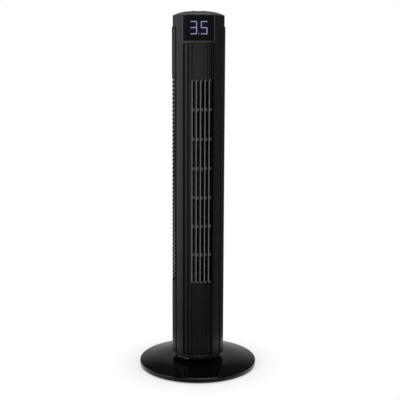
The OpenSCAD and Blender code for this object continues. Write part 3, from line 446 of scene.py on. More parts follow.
# %% [markdown]
# ## The front housing
#
# One moulding makes the front of the tower and the whole band of the head. It starts as a turned
# tube. The wall behind the channels is thickened by pushing its inner faces back, since a channel
# four millimetres deep needs something to be cut into. The back of the tube is then cut away below
# the shoulder, which leaves the band a full ring. Last the channels are carved with cutters that
# flare at the surface, so that every ridge gets a rounded edge. A bevel modifier would be quicker,
# but over a carved mesh it stumbles on short edges, and these edges are what catches the light.

# %% Sizes of the tower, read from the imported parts
front_low, front_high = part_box("front_housing")
rear_low, rear_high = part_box("rear_housing")
FRONT_R = front_high.x
REAR_R = rear_high.x
WALL = 0.0022
FRONT_IN_R = FRONT_R - WALL
FRONT_DEG = 270
SEAM_LEFT, SEAM_RIGHT = 210, 330
SEAM_ROUND = 0.0006
PAST = 0.01
FOOT_Z = rear_low.z
SHOULDER_Z = rear_high.z
HEAD_Z = front_high.z
CHANNELS = 7
CLOSED_CHANNELS = 2
PITCH = 0.00914
CHANNEL_SHIFT = 0.0021
RIDGE = 0.0024
EDGE_GROOVE = 0.0018
CHANNEL_DEPTH = 0.004
RIDGE_ROUND_LEFT = 0.0019
RIDGE_ROUND_RIGHT = 0.0004
FLOOR_ROUND = 0.0005
lens_low, lens_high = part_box("display_lens")
LENS_FLANGE = 0.0019
LENS_Z0 = lens_low.z + LENS_FLANGE
LENS_Z1 = lens_high.z
LENS_HALF = lens_high.x - LENS_FLANGE
FLUTE_Z1 = LENS_Z0 - 0.0043
intake_low, intake_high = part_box("intake_grille")
INTAKE_FLANGE = 0.003
OUTLET_Z0 = intake_low.z + INTAKE_FLANGE
OUTLET_Z1 = intake_high.z - INTAKE_FLANGE


def channel_x(i):
    return (i - (CHANNELS - 1) / 2) * PITCH - CHANNEL_SHIFT


def on_front(x, r):
    """The y of a point at x on the front half of a circle of radius r."""
    return -sqrt(r * r - x * x)


def polar(r, a):
    """A plan point at radius r and angle a in degrees, counted from +X."""
    return (r * cos(radians(a)), r * sin(radians(a)))


def pick_faces(piece, test):
    """In edit mode, selects the faces whose centre and normal pass a test."""
    bpy.ops.mesh.select_mode(type="FACE")
    bpy.ops.mesh.select_all(action="DESELECT")
    bpy.ops.object.mode_set(mode="OBJECT")
    count = 0
    for face in piece.data.polygons:
        face.select = test(face.center, face.normal)
        count += face.select
    bpy.ops.object.mode_set(mode="EDIT")
    return count


def push(vector):
    bpy.ops.mesh.extrude_region_move(TRANSFORM_OT_translate={"value": vector})


def seam_cutter(r, a0, a1, z0, z1):
    """Cuts a ring open from a0 to a1 and rounds both of the outer edges it leaves."""
    lean = (SEAM_ROUND / r) * 180 / pi
    bend = (0, 22, 45, 67, 90)
    curve = [(r - SEAM_ROUND * (1 - sin(radians(t))), lean * (1 - cos(radians(t)))) for t in bend]
    first = [polar(inset, a1 + turned) for inset, turned in curve]
    last = [polar(inset, a0 - turned) for inset, turned in curve[::-1]]
    steps = round((a1 - a0) / 8)
    far = [polar(r + 0.006, a1 + lean + (a0 - a1 - 2 * lean) * i / steps) for i in range(steps + 1)]
    near = [polar(0.04, a0 + (a1 - a0) * i / steps) for i in range(steps + 1)]
    return pull_up("seam_cutter", first + far + last + near, z0, z1)


# %% [markdown]
# The order matters here. The wall is thickened while the tube is still whole, since its faces are
# easy to pick by place and direction then, and the back goes afterwards.

# %% Turning the front, thickening it and cutting its back away
front = turn("front_shell", [(FRONT_IN_R, FOOT_Z), (FRONT_R, FOOT_Z), (FRONT_R, HEAD_Z - 0.0004),
             (FRONT_R - 0.0004, HEAD_Z), (FRONT_IN_R, HEAD_Z), (FRONT_IN_R, FLUTE_Z1 + WALL)], steps=236)
bpy.context.view_layer.objects.active = front
front.select_set(True)
bpy.ops.object.mode_set(mode="EDIT")
thick_half = CHANNELS * PITCH / 2 + CHANNEL_SHIFT + WALL
picked = pick_faces(front, lambda c, n: abs(c.x) < thick_half and c.y < 0 and c.z < FLUTE_Z1 + WALL
                    and abs(n.z) < 0.5 and c.xy.length < FRONT_R - WALL / 2)
push((0, CHANNEL_DEPTH, 0))
finish_mesh(front)
carve(front, seam_cutter(FRONT_R, SEAM_RIGHT - 360, SEAM_LEFT, FOOT_Z - PAST, SHOULDER_Z))
print("faces thickened", picked)
measured(front)

# %% [markdown]
# ### Carving the channels
#
# A channel's cutter is an upright rod whose plan has a flat-sided slot, small fillets at the floor
# and a flare at the mouth. The flare is wide on the right, where it rounds the next ridge's left
# side into a band that gathers the light, and tight on the left, where the shadow should start at
# once. A last narrow groove closes the band at the right. For the five channels of the air outlet
# the cutter's floor is pushed in over the outlet's height, so the same cut opens the wall.

# %% A cutter for each channel and the groove, then one carving of them all
def slot_plan(left, right, floor_r, mouth_rounds, floor_round):
    """Plan of a slot into the front: a rounded floor at floor_r and a flared mouth at FRONT_R."""
    plan = []
    for side, edge, mouth_round in ((-1, left, mouth_rounds[0]), (1, right, mouth_rounds[1])):
        mouth_y = on_front(edge + side * mouth_round, FRONT_R)
        mouth = [(edge + side * mouth_round * (1 - cos(radians(a))),
                  mouth_y + mouth_round * (1 - sin(radians(a)))) for a in (0, 22, 45, 68, 90)]
        base_y = on_front(edge - side * floor_round, floor_r)
        base = [(edge - side * floor_round * (1 - sin(radians(a))),
                 base_y - floor_round * (1 - cos(radians(a)))) for a in (0, 45, 90)]
        outside = [(edge + side * mouth_round, -REAR_R - 0.004)]
        plan += (outside + mouth[::-1] + base[::-1]) if side < 0 else (base + mouth + outside)
    start, stop = left + floor_round, right - floor_round
    steps = max(4, round((stop - start) / 0.0015))
    floor = [(start + (stop - start) * s / steps, on_front(start + (stop - start) * s / steps, floor_r))
             for s in range(1, steps)]
    middle = len(plan) // 2
    return plan[:middle] + floor + plan[middle:]


def joined(cutters):
    select_none()
    for cutter in cutters:
        cutter.select_set(True)
    bpy.context.view_layer.objects.active = cutters[0]
    bpy.ops.object.join()
    return bpy.context.object


GAP_HALF = (PITCH - RIDGE) / 2
groove_left = channel_x(CHANNELS - 1) + PITCH / 2 + RIDGE / 2
slot_spans = [(channel_x(i) - GAP_HALF, channel_x(i) + GAP_HALF) for i in range(CHANNELS)]
slot_spans.append((groove_left, groove_left + EDGE_GROOVE))
cutters = []
for i, (left, right) in enumerate(slot_spans):
    wide = RIDGE_ROUND_LEFT if i < CHANNELS else RIDGE_ROUND_RIGHT
    plan = slot_plan(left, right, FRONT_R - CHANNEL_DEPTH, (RIDGE_ROUND_RIGHT, wide), FLOOR_ROUND)
    levels = [FOOT_Z - PAST, OUTLET_Z0, OUTLET_Z1, FLUTE_Z1]
    cutter = draw_line("channel_cutter", [(x, y, levels[0]) for x, y in plan + plan[:1]], closed=True)
    pick_all()
    for low, high in zip(levels, levels[1:]):
        push((0, 0, high - low))
    pick_all()
    bpy.ops.mesh.normals_make_consistent(inside=False)
    if CLOSED_CHANNELS <= i < CHANNELS:
        floor_y = on_front(channel_x(i), FRONT_R - CHANNEL_DEPTH)
        pick_faces(cutter, lambda c, n: OUTLET_Z0 < c.z < OUTLET_Z1 and n.y > 0.5 and c.y > floor_y - 0.0035)
        push((0, WALL + 0.006, 0))
    finish_mesh(cutter)
    cutters.append(cutter)
carve(front, joined(cutters))
measured(front)

# %% [markdown]
# ### The display's window
#
# The window is an opening cut straight back, with a small flare at its left, right and lower edges.
# The flare is real: a mould needs it. A thin grey bezel lies in it as painted highlight, the bright
# frame round the lens that the flare's lit edges would give. The sides come from the same slot plan
# as the channels. The lower flare has to follow the curve of the band, so its cutter is a small
# triangle spun round the axis.

# %% Cutting the window
WINDOW_FLARE = 0.0011
WINDOW_IN_R = 0.045
PANEL_GAP = 0.0002


def spun(name, profile, a0, a1, steps):
    """A solid swept round Z: a closed profile of (radius, height), from angle a0 to a1.

    The spin tool turns clockwise about its axis, so the axis is given pointing down.
    """
    loop = [polar(r, a0) + (z,) for r, z in profile]
    piece = draw_line(name, loop + loop[:1], closed=True)
    pick_all()
    bpy.ops.mesh.spin(steps=steps, angle=radians(a1 - a0), center=AXIS, axis=(0, 0, -1))
    pick_all()
    bpy.ops.mesh.remove_doubles(threshold=0.000002)
    pick_all()
    bpy.ops.mesh.fill_holes(sides=0)
    return finish_mesh(piece)


window_half = LENS_HALF + PANEL_GAP
window_plan = slot_plan(-window_half, window_half, WINDOW_IN_R, (WINDOW_FLARE, WINDOW_FLARE), 0.0001)
window = pull_up("window_cutter", window_plan, LENS_Z0 - PANEL_GAP, LENS_Z1 + PANEL_GAP)
carve(front, window)
sill_z = LENS_Z0 - PANEL_GAP
sill_angle = asin((window_half + WINDOW_FLARE) / FRONT_R) * 180 / pi
sill = spun("sill_cutter", [(FRONT_R - WINDOW_FLARE, sill_z + 0.0004), (FRONT_R - WINDOW_FLARE, sill_z),
            (FRONT_R + 0.002, sill_z - WINDOW_FLARE - 0.002), (FRONT_R + 0.002, sill_z + 0.0004)],
            FRONT_DEG - sill_angle, FRONT_DEG + sill_angle, 60)
carve(front, sill)
finish_mesh(front)
measured(front)

# %% [markdown]
# ### The lens and its lit digits
#
# The lens is a slip of smoked plastic that plugs the window. It is drawn in plan as a slice of a
# ring and pulled up, and its edges are rounded. Its bezel is two upright strips and a curved one
# below, joined and rounded. It is a piece of its own so that it can be grey: the grey is painted
# highlight, the thin bright lines that the lit edges of the window's flare would show.

# %% Making the lens and its bezel
LENS_R = FRONT_R - 0.00025


def ring_slice(r_out, r_in, half, steps=48):
    """Plan of a slice of a ring whose ends are cut parallel to Y at plus and minus half."""
    outer = [-half + 2 * half * i / steps for i in range(steps + 1)]
    return [(x, on_front(x, r_out)) for x in outer] + [(x, on_front(x, r_in)) for x in outer[::-1]]


BEZEL_W = 0.0010
BEZEL_R1, BEZEL_R0 = FRONT_R - 0.0001, FRONT_R - 0.0012


def bezel_side(side):
    """An upright strip that fills the flare beside the lens; side is -1 or 1."""
    edges = sorted((side * window_half, side * (window_half + BEZEL_W)))
    xs = [edges[0] + (edges[1] - edges[0]) * i / 3 for i in range(4)]
    plan = [(x, on_front(x, BEZEL_R1)) for x in xs] + [(x, on_front(x, BEZEL_R0)) for x in xs[::-1]]
    return pull_up("bezel_side", plan, sill_z - BEZEL_W, LENS_Z1)


bezel_angle = asin(window_half / FRONT_R) * 180 / pi
sill_strip = spun("bezel_sill", oblong(BEZEL_R0, BEZEL_R1, sill_z - BEZEL_W, sill_z),
                  FRONT_DEG - bezel_angle, FRONT_DEG + bezel_angle, 60)
# The bezel is grey as painted highlight: the thin bright frame that the flare's lit edges would give.
bezel = joined([bezel_side(-1), bezel_side(1), sill_strip])
bezel.name = "bezel_painted_highlight"
round_edges(bezel, 0.0002, segments=2, angle=50)
measured(bezel)
lens = pull_up("lens", ring_slice(LENS_R, FRONT_IN_R - 0.0002, LENS_HALF), LENS_Z0, LENS_Z1)
round_edges(lens, 0.00035, segments=3, angle=50)
measured(lens)

# %% [markdown]
# The digits are seven-segment strokes: rounded bars pushed through the lens, then trimmed to a skin
# that lies a tenth of a millimetre proud of it, so that the curve of the lens carries them. Text
# turned into a mesh would be quicker, but a real display is made of such strokes.

# %% Making the digits
digits_low, digits_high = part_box("display_digits")
STROKE = 0.0016
DIGIT_H = digits_high.z - digits_low.z
DIGIT_W = 0.0135
DIGIT_GAP = 0.0084
DIGITS_X = (digits_low.x + digits_high.x) / 2 - 0.0007
STROKE_ROUND = 0.0005
SKIN_DEEP, SKIN_PROUD, SKIN_PAST = 0.0008, 0.0001, 0.002
THREE, FIVE = "abgcd", "afgcd"


def stroke(x0, x1, z0, z1):
    """One lit bar, drawn in the XZ plane with rounded corners and pushed back through the lens."""
    r = STROKE_ROUND
    corners = ((x1 - r, z1 - r, 0), (x0 + r, z1 - r, 90), (x0 + r, z0 + r, 180), (x1 - r, z0 + r, 270))
    loop = [(p[0], -FRONT_R - 0.001, p[1]) for x, z, a in corners for p in arc(x, z, r, a, a + 90, 3)]
    bar = draw_line("stroke", loop + loop[:1], closed=True)
    pick_all()
    push((0, 0.014, 0))
    return finish_mesh(bar)


def digit(x, lit):
    """The lit bars of one digit whose lower left corner is at x; they stop just short of each other."""
    z, w, h, g = digits_low.z, DIGIT_W, DIGIT_H, 0.0001
    upper, middle, lower = z + h, z + h / 2, z
    bars = {
        "a": (x, x + w, upper - STROKE, upper),
        "g": (x, x + w, middle - STROKE / 2, middle + STROKE / 2),
        "d": (x, x + w, lower, lower + STROKE),
        "b": (x + w - STROKE, x + w, middle + STROKE / 2 + g, upper - STROKE - g),
        "c": (x + w - STROKE, x + w, lower + STROKE + g, middle - STROKE / 2 - g),
        "f": (x, x + STROKE, middle + STROKE / 2 + g, upper - STROKE - g),
    }
    return [stroke(*bars[name]) for name in lit]


bars = digit(DIGITS_X - DIGIT_W - DIGIT_GAP / 2, THREE) + digit(DIGITS_X + DIGIT_GAP / 2, FIVE)
bars.append(stroke(DIGITS_X - STROKE / 2, DIGITS_X + STROKE / 2, digits_low.z, digits_low.z + STROKE))
digits = joined(bars)
digits.name = "lit_digits"
skin = turn("digit_skin", oblong(LENS_R - SKIN_DEEP, LENS_R + SKIN_PROUD, digits_low.z - SKIN_PAST,
                                 digits_high.z + SKIN_PAST), steps=360)
carve(digits, skin, "INTERSECT")
finish_mesh(digits)
measured(digits)

# %% [markdown]
# ## The outlet's insert
#
# Behind the five open channels sits one insert, a grey moulding: a curved frame with seven rows of
# windows, pads that stand forward to the channels' floor between the rows, and upright fins that
# lean a little to the right. On the real fan this is the part that aims the air. The pads keep the
# plain grey; the frame, deep in the openings, is dressed black as painted shade, and the fins a
# lighter grey as painted highlight. The frame is a slice of a ring with all its windows carved in
# one go. The pads are small slices of their own, one to a channel and level, and they are bevelled,
# since the light runs along their edges.

# %% Making the insert's frame
insert_low, insert_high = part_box("outlet_grille")
INSERT_R = FRONT_R - CHANNEL_DEPTH - WALL
INSERT_T = 0.0028
ROWS = 7
CROSSBAR = 0.0065
SILL = 0.0037
FRAME_SIDE = 0.0026
FIN_T = 0.0014
FIN_DEPTH = 0.007
FIN_SLANT = 8
FIN_SET = 0.0006
ROW_H = (OUTLET_Z1 - OUTLET_Z0 - 2 * SILL - (ROWS - 1) * CROSSBAR) / ROWS


def row_z(row):
    return OUTLET_Z0 + SILL + row * (ROW_H + CROSSBAR)


INSERT_LIP = 0.0015
x0 = channel_x(CLOSED_CHANNELS) - PITCH / 2 - INSERT_LIP
x1 = channel_x(CHANNELS - 1) + PITCH / 2 + INSERT_LIP


def front_slice(name, left, right, r_out, r_in, z0, z1):
    """A slice of a ring about the axis, from left to right in X, pulled up from z0 to z1."""
    steps = max(4, round((right - left) / 0.0013))
    xs = [left + (right - left) * i / steps for i in range(steps + 1)]
    plan = [(x, on_front(x, r_out)) for x in xs] + [(x, on_front(x, r_in)) for x in xs[::-1]]
    return pull_up(name, plan, z0, z1)


def row_cutter(z0, z1):
    """A block through the insert over one row's height."""
    left, right = x0 + FRAME_SIDE, x1 - FRAME_SIDE
    front_y = -REAR_R
    corners = [(left, front_y, z0), (left, 0, z0), (left, 0, z1), (left, front_y, z1), (left, front_y, z0)]
    block = draw_line("row_cutter", corners, closed=True)
    pick_all()
    push((right - left, 0, 0))
    return finish_mesh(block)


insert = front_slice("outlet_insert", x0, x1, INSERT_R - 0.0001, INSERT_R - INSERT_T,
                     OUTLET_Z0 - 0.002, OUTLET_Z1 + 0.002)
carve(insert, joined([row_cutter(row_z(row), row_z(row) + ROW_H) for row in range(ROWS)]))
finish_mesh(insert)
pad_levels = ([(OUTLET_Z0 + PANEL_GAP, row_z(0))]
              + [(row_z(row) + ROW_H, row_z(row + 1)) for row in range(ROWS - 1)]
              + [(row_z(ROWS - 1) + ROW_H, OUTLET_Z1 - PANEL_GAP)])
pads = joined([front_slice("pad", channel_x(i) - GAP_HALF + PANEL_GAP, channel_x(i) + GAP_HALF - PANEL_GAP,
                           FRONT_R - CHANNEL_DEPTH, INSERT_R - 0.0006, z0, z1)
               for i in range(CLOSED_CHANNELS, CHANNELS) for z0, z1 in pad_levels])
pads.name = "outlet_pads"
round_edges(pads, 0.0008, segments=3, angle=50)
measured(insert)
measured(pads)

# %% [markdown]
# ### The fins
#
# One fin is a thin plank with rounded front and back edges, drawn in plan with two half circles and
# pulled up over the whole outlet. Its nose reaches forward through the channel, beside the ridge at
# its left, and nearly meets the front's surface: from the room it is the thin bright line at the
# left of every opening, a line drawn partly by its lighter grey as painted highlight. It leans to
# the right as it goes back, which turns the air.

# %% Making the fins
def fin_plan(x):
    """Plan of one fin: a long slot shape that starts beside a ridge and leans by FIN_SLANT."""
    r = FIN_T / 2
    start = Vector((x + r, on_front(x + FIN_T, FRONT_R - FIN_SET) + r))
    tail_y = on_front(x + r, INSERT_R - 0.0004) + FIN_DEPTH
    lean = Vector((sin(radians(FIN_SLANT)), cos(radians(FIN_SLANT))))
    stop = start + lean * (tail_y - start.y - r)
    heading = 90 - FIN_SLANT
    near = arc(start.x, start.y, r, heading + 90, heading + 270, 8)
    far = arc(stop.x, stop.y, r, heading - 90, heading + 90, 8)
    return near + far


fins = [pull_up("outlet_fin", fin_plan(channel_x(i) - GAP_HALF + 0.0003),
                row_z(0) - 0.001, row_z(ROWS - 1) + ROW_H + 0.001)
        for i in range(CLOSED_CHANNELS, CHANNELS)]
fins = joined(fins)
fins.name = "outlet_fins"
measured(fins)

# %% [markdown]
# ## The rear housing
#
# The rear housing is turned like the front, a little larger, and cut open over the front third. The
# inside is cleared with a swept cutter that stops short of the seams, which leaves the two flanges
# that close the gap behind the front's edge. A second sweep opens the intake. Last, the upper
# corners beside the head are cut back on a slant, and the two screw wells are bored into the back.

# %% Turning and opening the rear housing
FLANGE_DEG = 1.0
SEAM_SKIN = 0.15
INTAKE_A0, INTAKE_A1 = 34, 206.4
INTAKE_MORE = 0.0092
INTAKE_Z0, INTAKE_Z1 = OUTLET_Z0 - INTAKE_MORE, OUTLET_Z1 + INTAKE_MORE
LIP = 0.0022
rear = turn("rear_shell", [(FRONT_IN_R, FOOT_Z), (REAR_R, FOOT_Z), (REAR_R, SHOULDER_Z - 0.0005),
            (REAR_R - 0.0005, SHOULDER_Z), (FRONT_IN_R, SHOULDER_Z)], steps=236)
carve(rear, seam_cutter(REAR_R, SEAM_LEFT, SEAM_RIGHT, FOOT_Z - PAST, SHOULDER_Z + PAST))
hollow = spun("rear_hollow", oblong(FRONT_IN_R - 0.004, REAR_R - WALL, FOOT_Z - PAST, SHOULDER_Z - LIP),
              SEAM_RIGHT - 360 + FLANGE_DEG, SEAM_LEFT - FLANGE_DEG, 157)
carve(rear, hollow)
opening = spun("intake_opening", oblong(REAR_R - 0.006, REAR_R + 0.003, INTAKE_Z0, INTAKE_Z1),
               INTAKE_A0, SEAM_LEFT - FLANGE_DEG - SEAM_SKIN, 116)
carve(rear, opening)
measured(rear)

# %% [markdown]
# The slanted corners let the rear housing tuck in beside the head. Each is one block for the slant
# and a shallow one for the groove below it. The wells are plain cylinders, as a drill would leave.

# %% Cutting its corners back and boring its screw wells
CORNER_W, CORNER_H = 0.0044, 0.0065
CORNER_GROOVE = 0.0023
screw_low, screw_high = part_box("housing_screws")
WELL_X = screw_high.x - 0.0028
WELL_Z = rear_low.z + 0.024
WELL_R = 0.0033
SEAT_Y = 0.0514


def corner_cutter(angle, side, depth, top):
    """A block with a slanted lower face, cut from the shoulder to depth below the front's surface.

    A top of None cuts all that is above the slant; a number cuts only a groove of that height.
    """
    low, far = CORNER_H + 0.0005, 0.02
    reach, rise = CORNER_W * 1.2, CORNER_H * 1.2
    face = [(-0.001, SHOULDER_Z - low - 0.001), (reach, SHOULDER_Z - low + rise)]
    if top is None:
        face += [(reach, SHOULDER_Z + far), (-far, SHOULDER_Z + far), (-far, SHOULDER_Z - low - 0.001)]
    else:
        face += [(reach, SHOULDER_Z - low + rise + top), (-0.001, SHOULDER_Z - low - 0.001 + top)]
    out = Vector(polar(1, angle)).to_3d()
    along = Vector((-out.y, out.x, 0)) * side
    start = out * (FRONT_R - depth)
    loop = [tuple(start + along * s + Vector((0, 0, z))) for s, z in face]
    block = draw_line("corner_cutter", loop + loop[:1], closed=True)
    pick_all()
    push(tuple(out * 0.01))
    return finish_mesh(block)


for angle, side in ((SEAM_RIGHT, 1), (SEAM_LEFT, -1)):
    carve(rear, corner_cutter(angle, side, 0.0001, None))
    carve(rear, corner_cutter(angle, side, CORNER_GROOVE, CORNER_GROOVE))


def well_cutter(x):
    select_none()
    depth = REAR_R + 0.004 - SEAT_Y
    bpy.ops.mesh.primitive_cylinder_add(vertices=32, radius=WELL_R, depth=depth,
                                        location=(x, SEAT_Y + depth / 2, WELL_Z), rotation=(pi / 2, 0, 0))
    bpy.ops.object.transform_apply(location=True, rotation=True, scale=False)
    return bpy.context.object


carve(rear, joined([well_cutter(-WELL_X), well_cutter(WELL_X)]))
finish_mesh(rear)
measured(rear)

# %% [markdown]
# ## The intake
#
# The back breathes in between rows of curved slats. One slat is a small rounded bar swept round
# the axis, and an array repeats it up the window. The frame round them is a sweep of its own, and
# the upright ribs that keep the slats from bending are plain blocks set just behind their faces.

# %% Sweeping the slats and the frame
SLOT_PITCH = 0.00907
SLOT_H = 0.0042
SLAT_H = SLOT_PITCH - SLOT_H
FAR_DEG, NEAR_DEG = 2, 0.6
BORDER = 0.002
slots = int((INTAKE_Z1 - INTAKE_Z0 - 2 * BORDER) / SLOT_PITCH)
slots_z0 = INTAKE_Z0 + (INTAKE_Z1 - INTAKE_Z0 - slots * SLOT_PITCH + SLAT_H) / 2
print("intake slots", slots)
slots_z1 = slots_z0 + slots * SLOT_PITCH - SLAT_H
SLAT_R1 = REAR_R - 0.0002
SLAT_R0 = REAR_R - WALL + 0.0002
SLAT_ROUND = 0.0011


def slat_profile(z0, z1):
    """A slat's section: a small bar with rounded outer edges."""
    r = SLAT_ROUND
    upper = [(SLAT_R1 - r + x, z1 - r + z) for x, z in arc(0, 0, r, 0, 90, 3)]
    lower = [(SLAT_R1 - r + x, z0 + r + z) for x, z in arc(0, 0, r, 270, 360, 3)]
    return [(SLAT_R0, z0)] + lower + upper + [(SLAT_R0, z1)]


first_z = slots_z0 + SLOT_H
slats = spun("intake_slats", slat_profile(first_z, first_z + SLAT_H), INTAKE_A0 + FAR_DEG / 2,
             INTAKE_A1 - NEAR_DEG / 2, 115)
picked_only(slats)
rows = slats.modifiers.new("rows", "ARRAY")
rows.count = slots - 1
rows.use_relative_offset = False
rows.use_constant_offset = True
rows.constant_offset_displace = (0, 0, SLOT_PITCH)
bpy.ops.object.modifier_apply(modifier="rows")
measured(slats)

frame_z0, frame_z1 = INTAKE_Z0, INTAKE_Z1
FRAME_ROUND = 0.0003
FRAME_R0 = SLAT_R0 - 0.0005
GAP_R0, GAP_R1, GAP_FLARE = SLAT_R0 - 0.004, REAR_R - 0.0004, 0.002
intake = spun("intake_frame", [(FRAME_R0, frame_z0), (REAR_R - FRAME_ROUND, frame_z0),
              (REAR_R, frame_z0 + FRAME_ROUND), (REAR_R, frame_z1 - FRAME_ROUND),
              (REAR_R - FRAME_ROUND, frame_z1), (FRAME_R0, frame_z1)], INTAKE_A0, INTAKE_A1, 115)
gap = spun("intake_gap", [(GAP_R0, slots_z0), (GAP_R1, slots_z0), (REAR_R + GAP_FLARE, slots_z0 - GAP_FLARE),
           (REAR_R + GAP_FLARE, slots_z1 + GAP_FLARE), (GAP_R1, slots_z1), (GAP_R0, slots_z1)],
           INTAKE_A0 + FAR_DEG, INTAKE_A1 - NEAR_DEG, 113)
carve(intake, gap)
measured(intake)

# %% [markdown]
# Slats this thin would bend, so uprights stand behind them. They are blocks turned to face the axis
# and joined into one piece, since they are moulded as one.

# %% Standing the ribs behind the slats
RIB_STEP = 17.2
RIB_W = 0.0024


def rib(angle):
    """An upright block behind the slats at this angle."""
    out = Vector(polar(1, angle)).to_3d()
    side = Vector((-out.y, out.x, 0)) * RIB_W / 2
    near, far = out * (FRONT_IN_R + 0.0005), out * (SLAT_R0 + 0.0007)
    corners = [near - side, far - side, far + side, near + side]
    return pull_up("rib", [(c.x, c.y) for c in corners], frame_z0 + 0.001, frame_z1 - 0.001)


count = int((INTAKE_A1 - INTAKE_A0 - RIB_STEP / 2) / RIB_STEP)
ribs = joined([rib(INTAKE_A0 + RIB_STEP * (i + 1)) for i in range(count)])
ribs.name = "intake_ribs"
measured(ribs)

# %% [markdown]
# ## The top
#
# The cap is a turned dome. Its curve is of the third power: nearly flat in the middle, so that the
# keys stand level, and falling ever faster towards the rim, where a small round leads into the
# band, over a fine groove that shades the joint. A panel sits in its middle, flush, with a fine gap
# all round. The keys are turned too, each
# with a slightly hollow top that finds the fingertip.

# %% Turning the cap and its panel
cap_low, cap_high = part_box("top_cap")
panel_low, panel_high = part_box("control_panel")
power_low, power_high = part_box("button_power")
CAP_EDGE = 0.002
EDGE_ROUND = 0.0012
SHADOW_GAP = 0.0009
CAP_WALL = 0.0022
PANEL_R = 0.030
PANEL_TOP = panel_high.z
CAP_H = PANEL_TOP - HEAD_Z + 0.0015
SKIRT_R = FRONT_IN_R - PANEL_GAP


def dome_z(r, inset=0.0):
    return HEAD_Z + CAP_EDGE - inset + (CAP_H - CAP_EDGE) * (1 - (r / FRONT_R) ** 3)


steps = 36
DOME_R0, DOME_R1 = PANEL_R + 0.0004, FRONT_R - EDGE_ROUND
dome_radii = [DOME_R0 + (DOME_R1 - DOME_R0) * i / steps for i in range(steps + 1)]
dome = [(r, dome_z(r)) for r in dome_radii]
edge = arc(DOME_R1, dome_z(DOME_R1) - EDGE_ROUND, EDGE_ROUND, 75, 0, 5)
under = [(r, dome_z(r, CAP_WALL)) for r in dome_radii[::-1][4:]]
lip = [(PANEL_R, PANEL_TOP - 0.0032), (PANEL_R, dome_z(DOME_R0) - 0.0004)]
gap_z0, gap_z1 = HEAD_Z + 0.0001, HEAD_Z + 0.0007
skirt_z = HEAD_Z - 0.004
groove = [(FRONT_R, gap_z1), (FRONT_R - SHADOW_GAP, gap_z1), (FRONT_R - SHADOW_GAP, gap_z0)]
skirt = [(SKIRT_R, gap_z0), (SKIRT_R, skirt_z), (SKIRT_R - CAP_WALL, skirt_z)]
cap = turn("top_dome", dome + edge + groove + skirt + under + lip, steps=192)
measured(cap)

key_names = ("power", "speed", "mode", "swing", "timer")
key_box = {name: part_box("button_" + name) for name in key_names}
key_at = {name: Vector(((low.x + high.x) / 2, (low.y + high.y) / 2)) for name, (low, high) in key_box.items()}
KEY_FLANGE = 0.001
key_r = {name: (high.x - low.x) / 2 - KEY_FLANGE for name, (low, high) in key_box.items()}
KEY_GAP = 0.0003
PANEL_ROUND = 0.0004
panel_edge, panel_low_z = PANEL_R - 0.0003, PANEL_TOP - 0.003
panel = turn("key_panel", [(0.0, panel_low_z), (panel_edge, panel_low_z),
             (panel_edge, PANEL_TOP - PANEL_ROUND), (panel_edge - PANEL_ROUND, PANEL_TOP),
             (0.0, PANEL_TOP)], steps=144)


def key_hole(name):
    """A turned cutter for one key's hole, with a small flare at the panel's face."""
    r = key_r[name] + KEY_GAP
    centre = key_at[name].to_3d()
    return turn("key_hole", [(0, PANEL_TOP - 0.01), (r, PANEL_TOP - 0.01), (r, PANEL_TOP - 0.0003),
                (r + 0.0006, PANEL_TOP + 0.0003), (0, PANEL_TOP + 0.0003)], steps=64, center=centre)


carve(panel, joined([key_hole(name) for name in key_names]))
finish_mesh(panel)
measured(panel)

# %% [markdown]
# ### Keys and their marks
#
# Every key carries one of the marks that any such fan has: a broken ring with a bar, three bars
# that grow, a wave, an arrow with two heads, and a clock's face. The marks are raised by a tenth of
# a millimetre, as if printed thickly, and each is joined to its key so that it travels with it.

# %% Turning the keys and drawing their marks
DISH = 0.0004
MARK_T = 0.00012
MARK_W = 0.0007


def key(name):
    """One key: a flanged rod with a rounded rim and a hollow top."""
    low, high = key_box[name]
    r, top, round_r = key_r[name], high.z, 0.0006
    flange_z = low.z + 0.0016
    rim = arc(r - round_r, top - round_r, round_r, 0, 90, 5)
    hollow = [((r - round_r) * f, top - DISH * (1 - f * f)) for f in (0.85, 0.7, 0.5, 0.3, 0.12)]
    profile = [(0.00005, low.z), (r + KEY_FLANGE, low.z), (r + KEY_FLANGE, flange_z), (r, flange_z)]
    return turn("key_" + name, profile + rim + hollow + [(0.00005, top - DISH)], steps=72,
                center=key_at[name].to_3d())


def mark_plate(name, plan, height=MARK_T):
    """A flat raised shape on a key: a closed plan about the key's centre."""
    top = key_box[name][1].z - DISH
    centre = key_at[name]
    return pull_up("mark", [(centre.x + x, centre.y + y) for x, y in plan], top - 0.0003, top + height)


def mark_bar(name, x0, y0, x1, y1, w=MARK_W):
    """A straight stroke with round ends between two points about the key's centre."""
    heading = atan2(y1 - y0, x1 - x0) * 180 / pi
    return mark_plate(name, arc(x1, y1, w / 2, heading - 90, heading + 90, 6)
                      + arc(x0, y0, w / 2, heading + 90, heading + 270, 6))


def mark_arc(name, r, a0, a1, cx=0.0, cy=0.0, w=MARK_W):
    """A curved stroke of radius r about (cx, cy)."""
    steps = max(6, round(abs(a1 - a0) / 10))
    outer = arc(cx, cy, r + w / 2, a0, a1, steps)
    inner = arc(cx, cy, r - w / 2, a1, a0, steps)
    return mark_plate(name, outer + inner)


def mark_head(name, x, y, heading, size=0.0012):
    """An arrow's head at a point, pointing along heading."""
    corners = [radians(heading + t) for t in (0, 130, 230)]
    tip = [(x + size * cos(a), y + size * sin(a)) for a in corners]
    return mark_plate(name, tip)


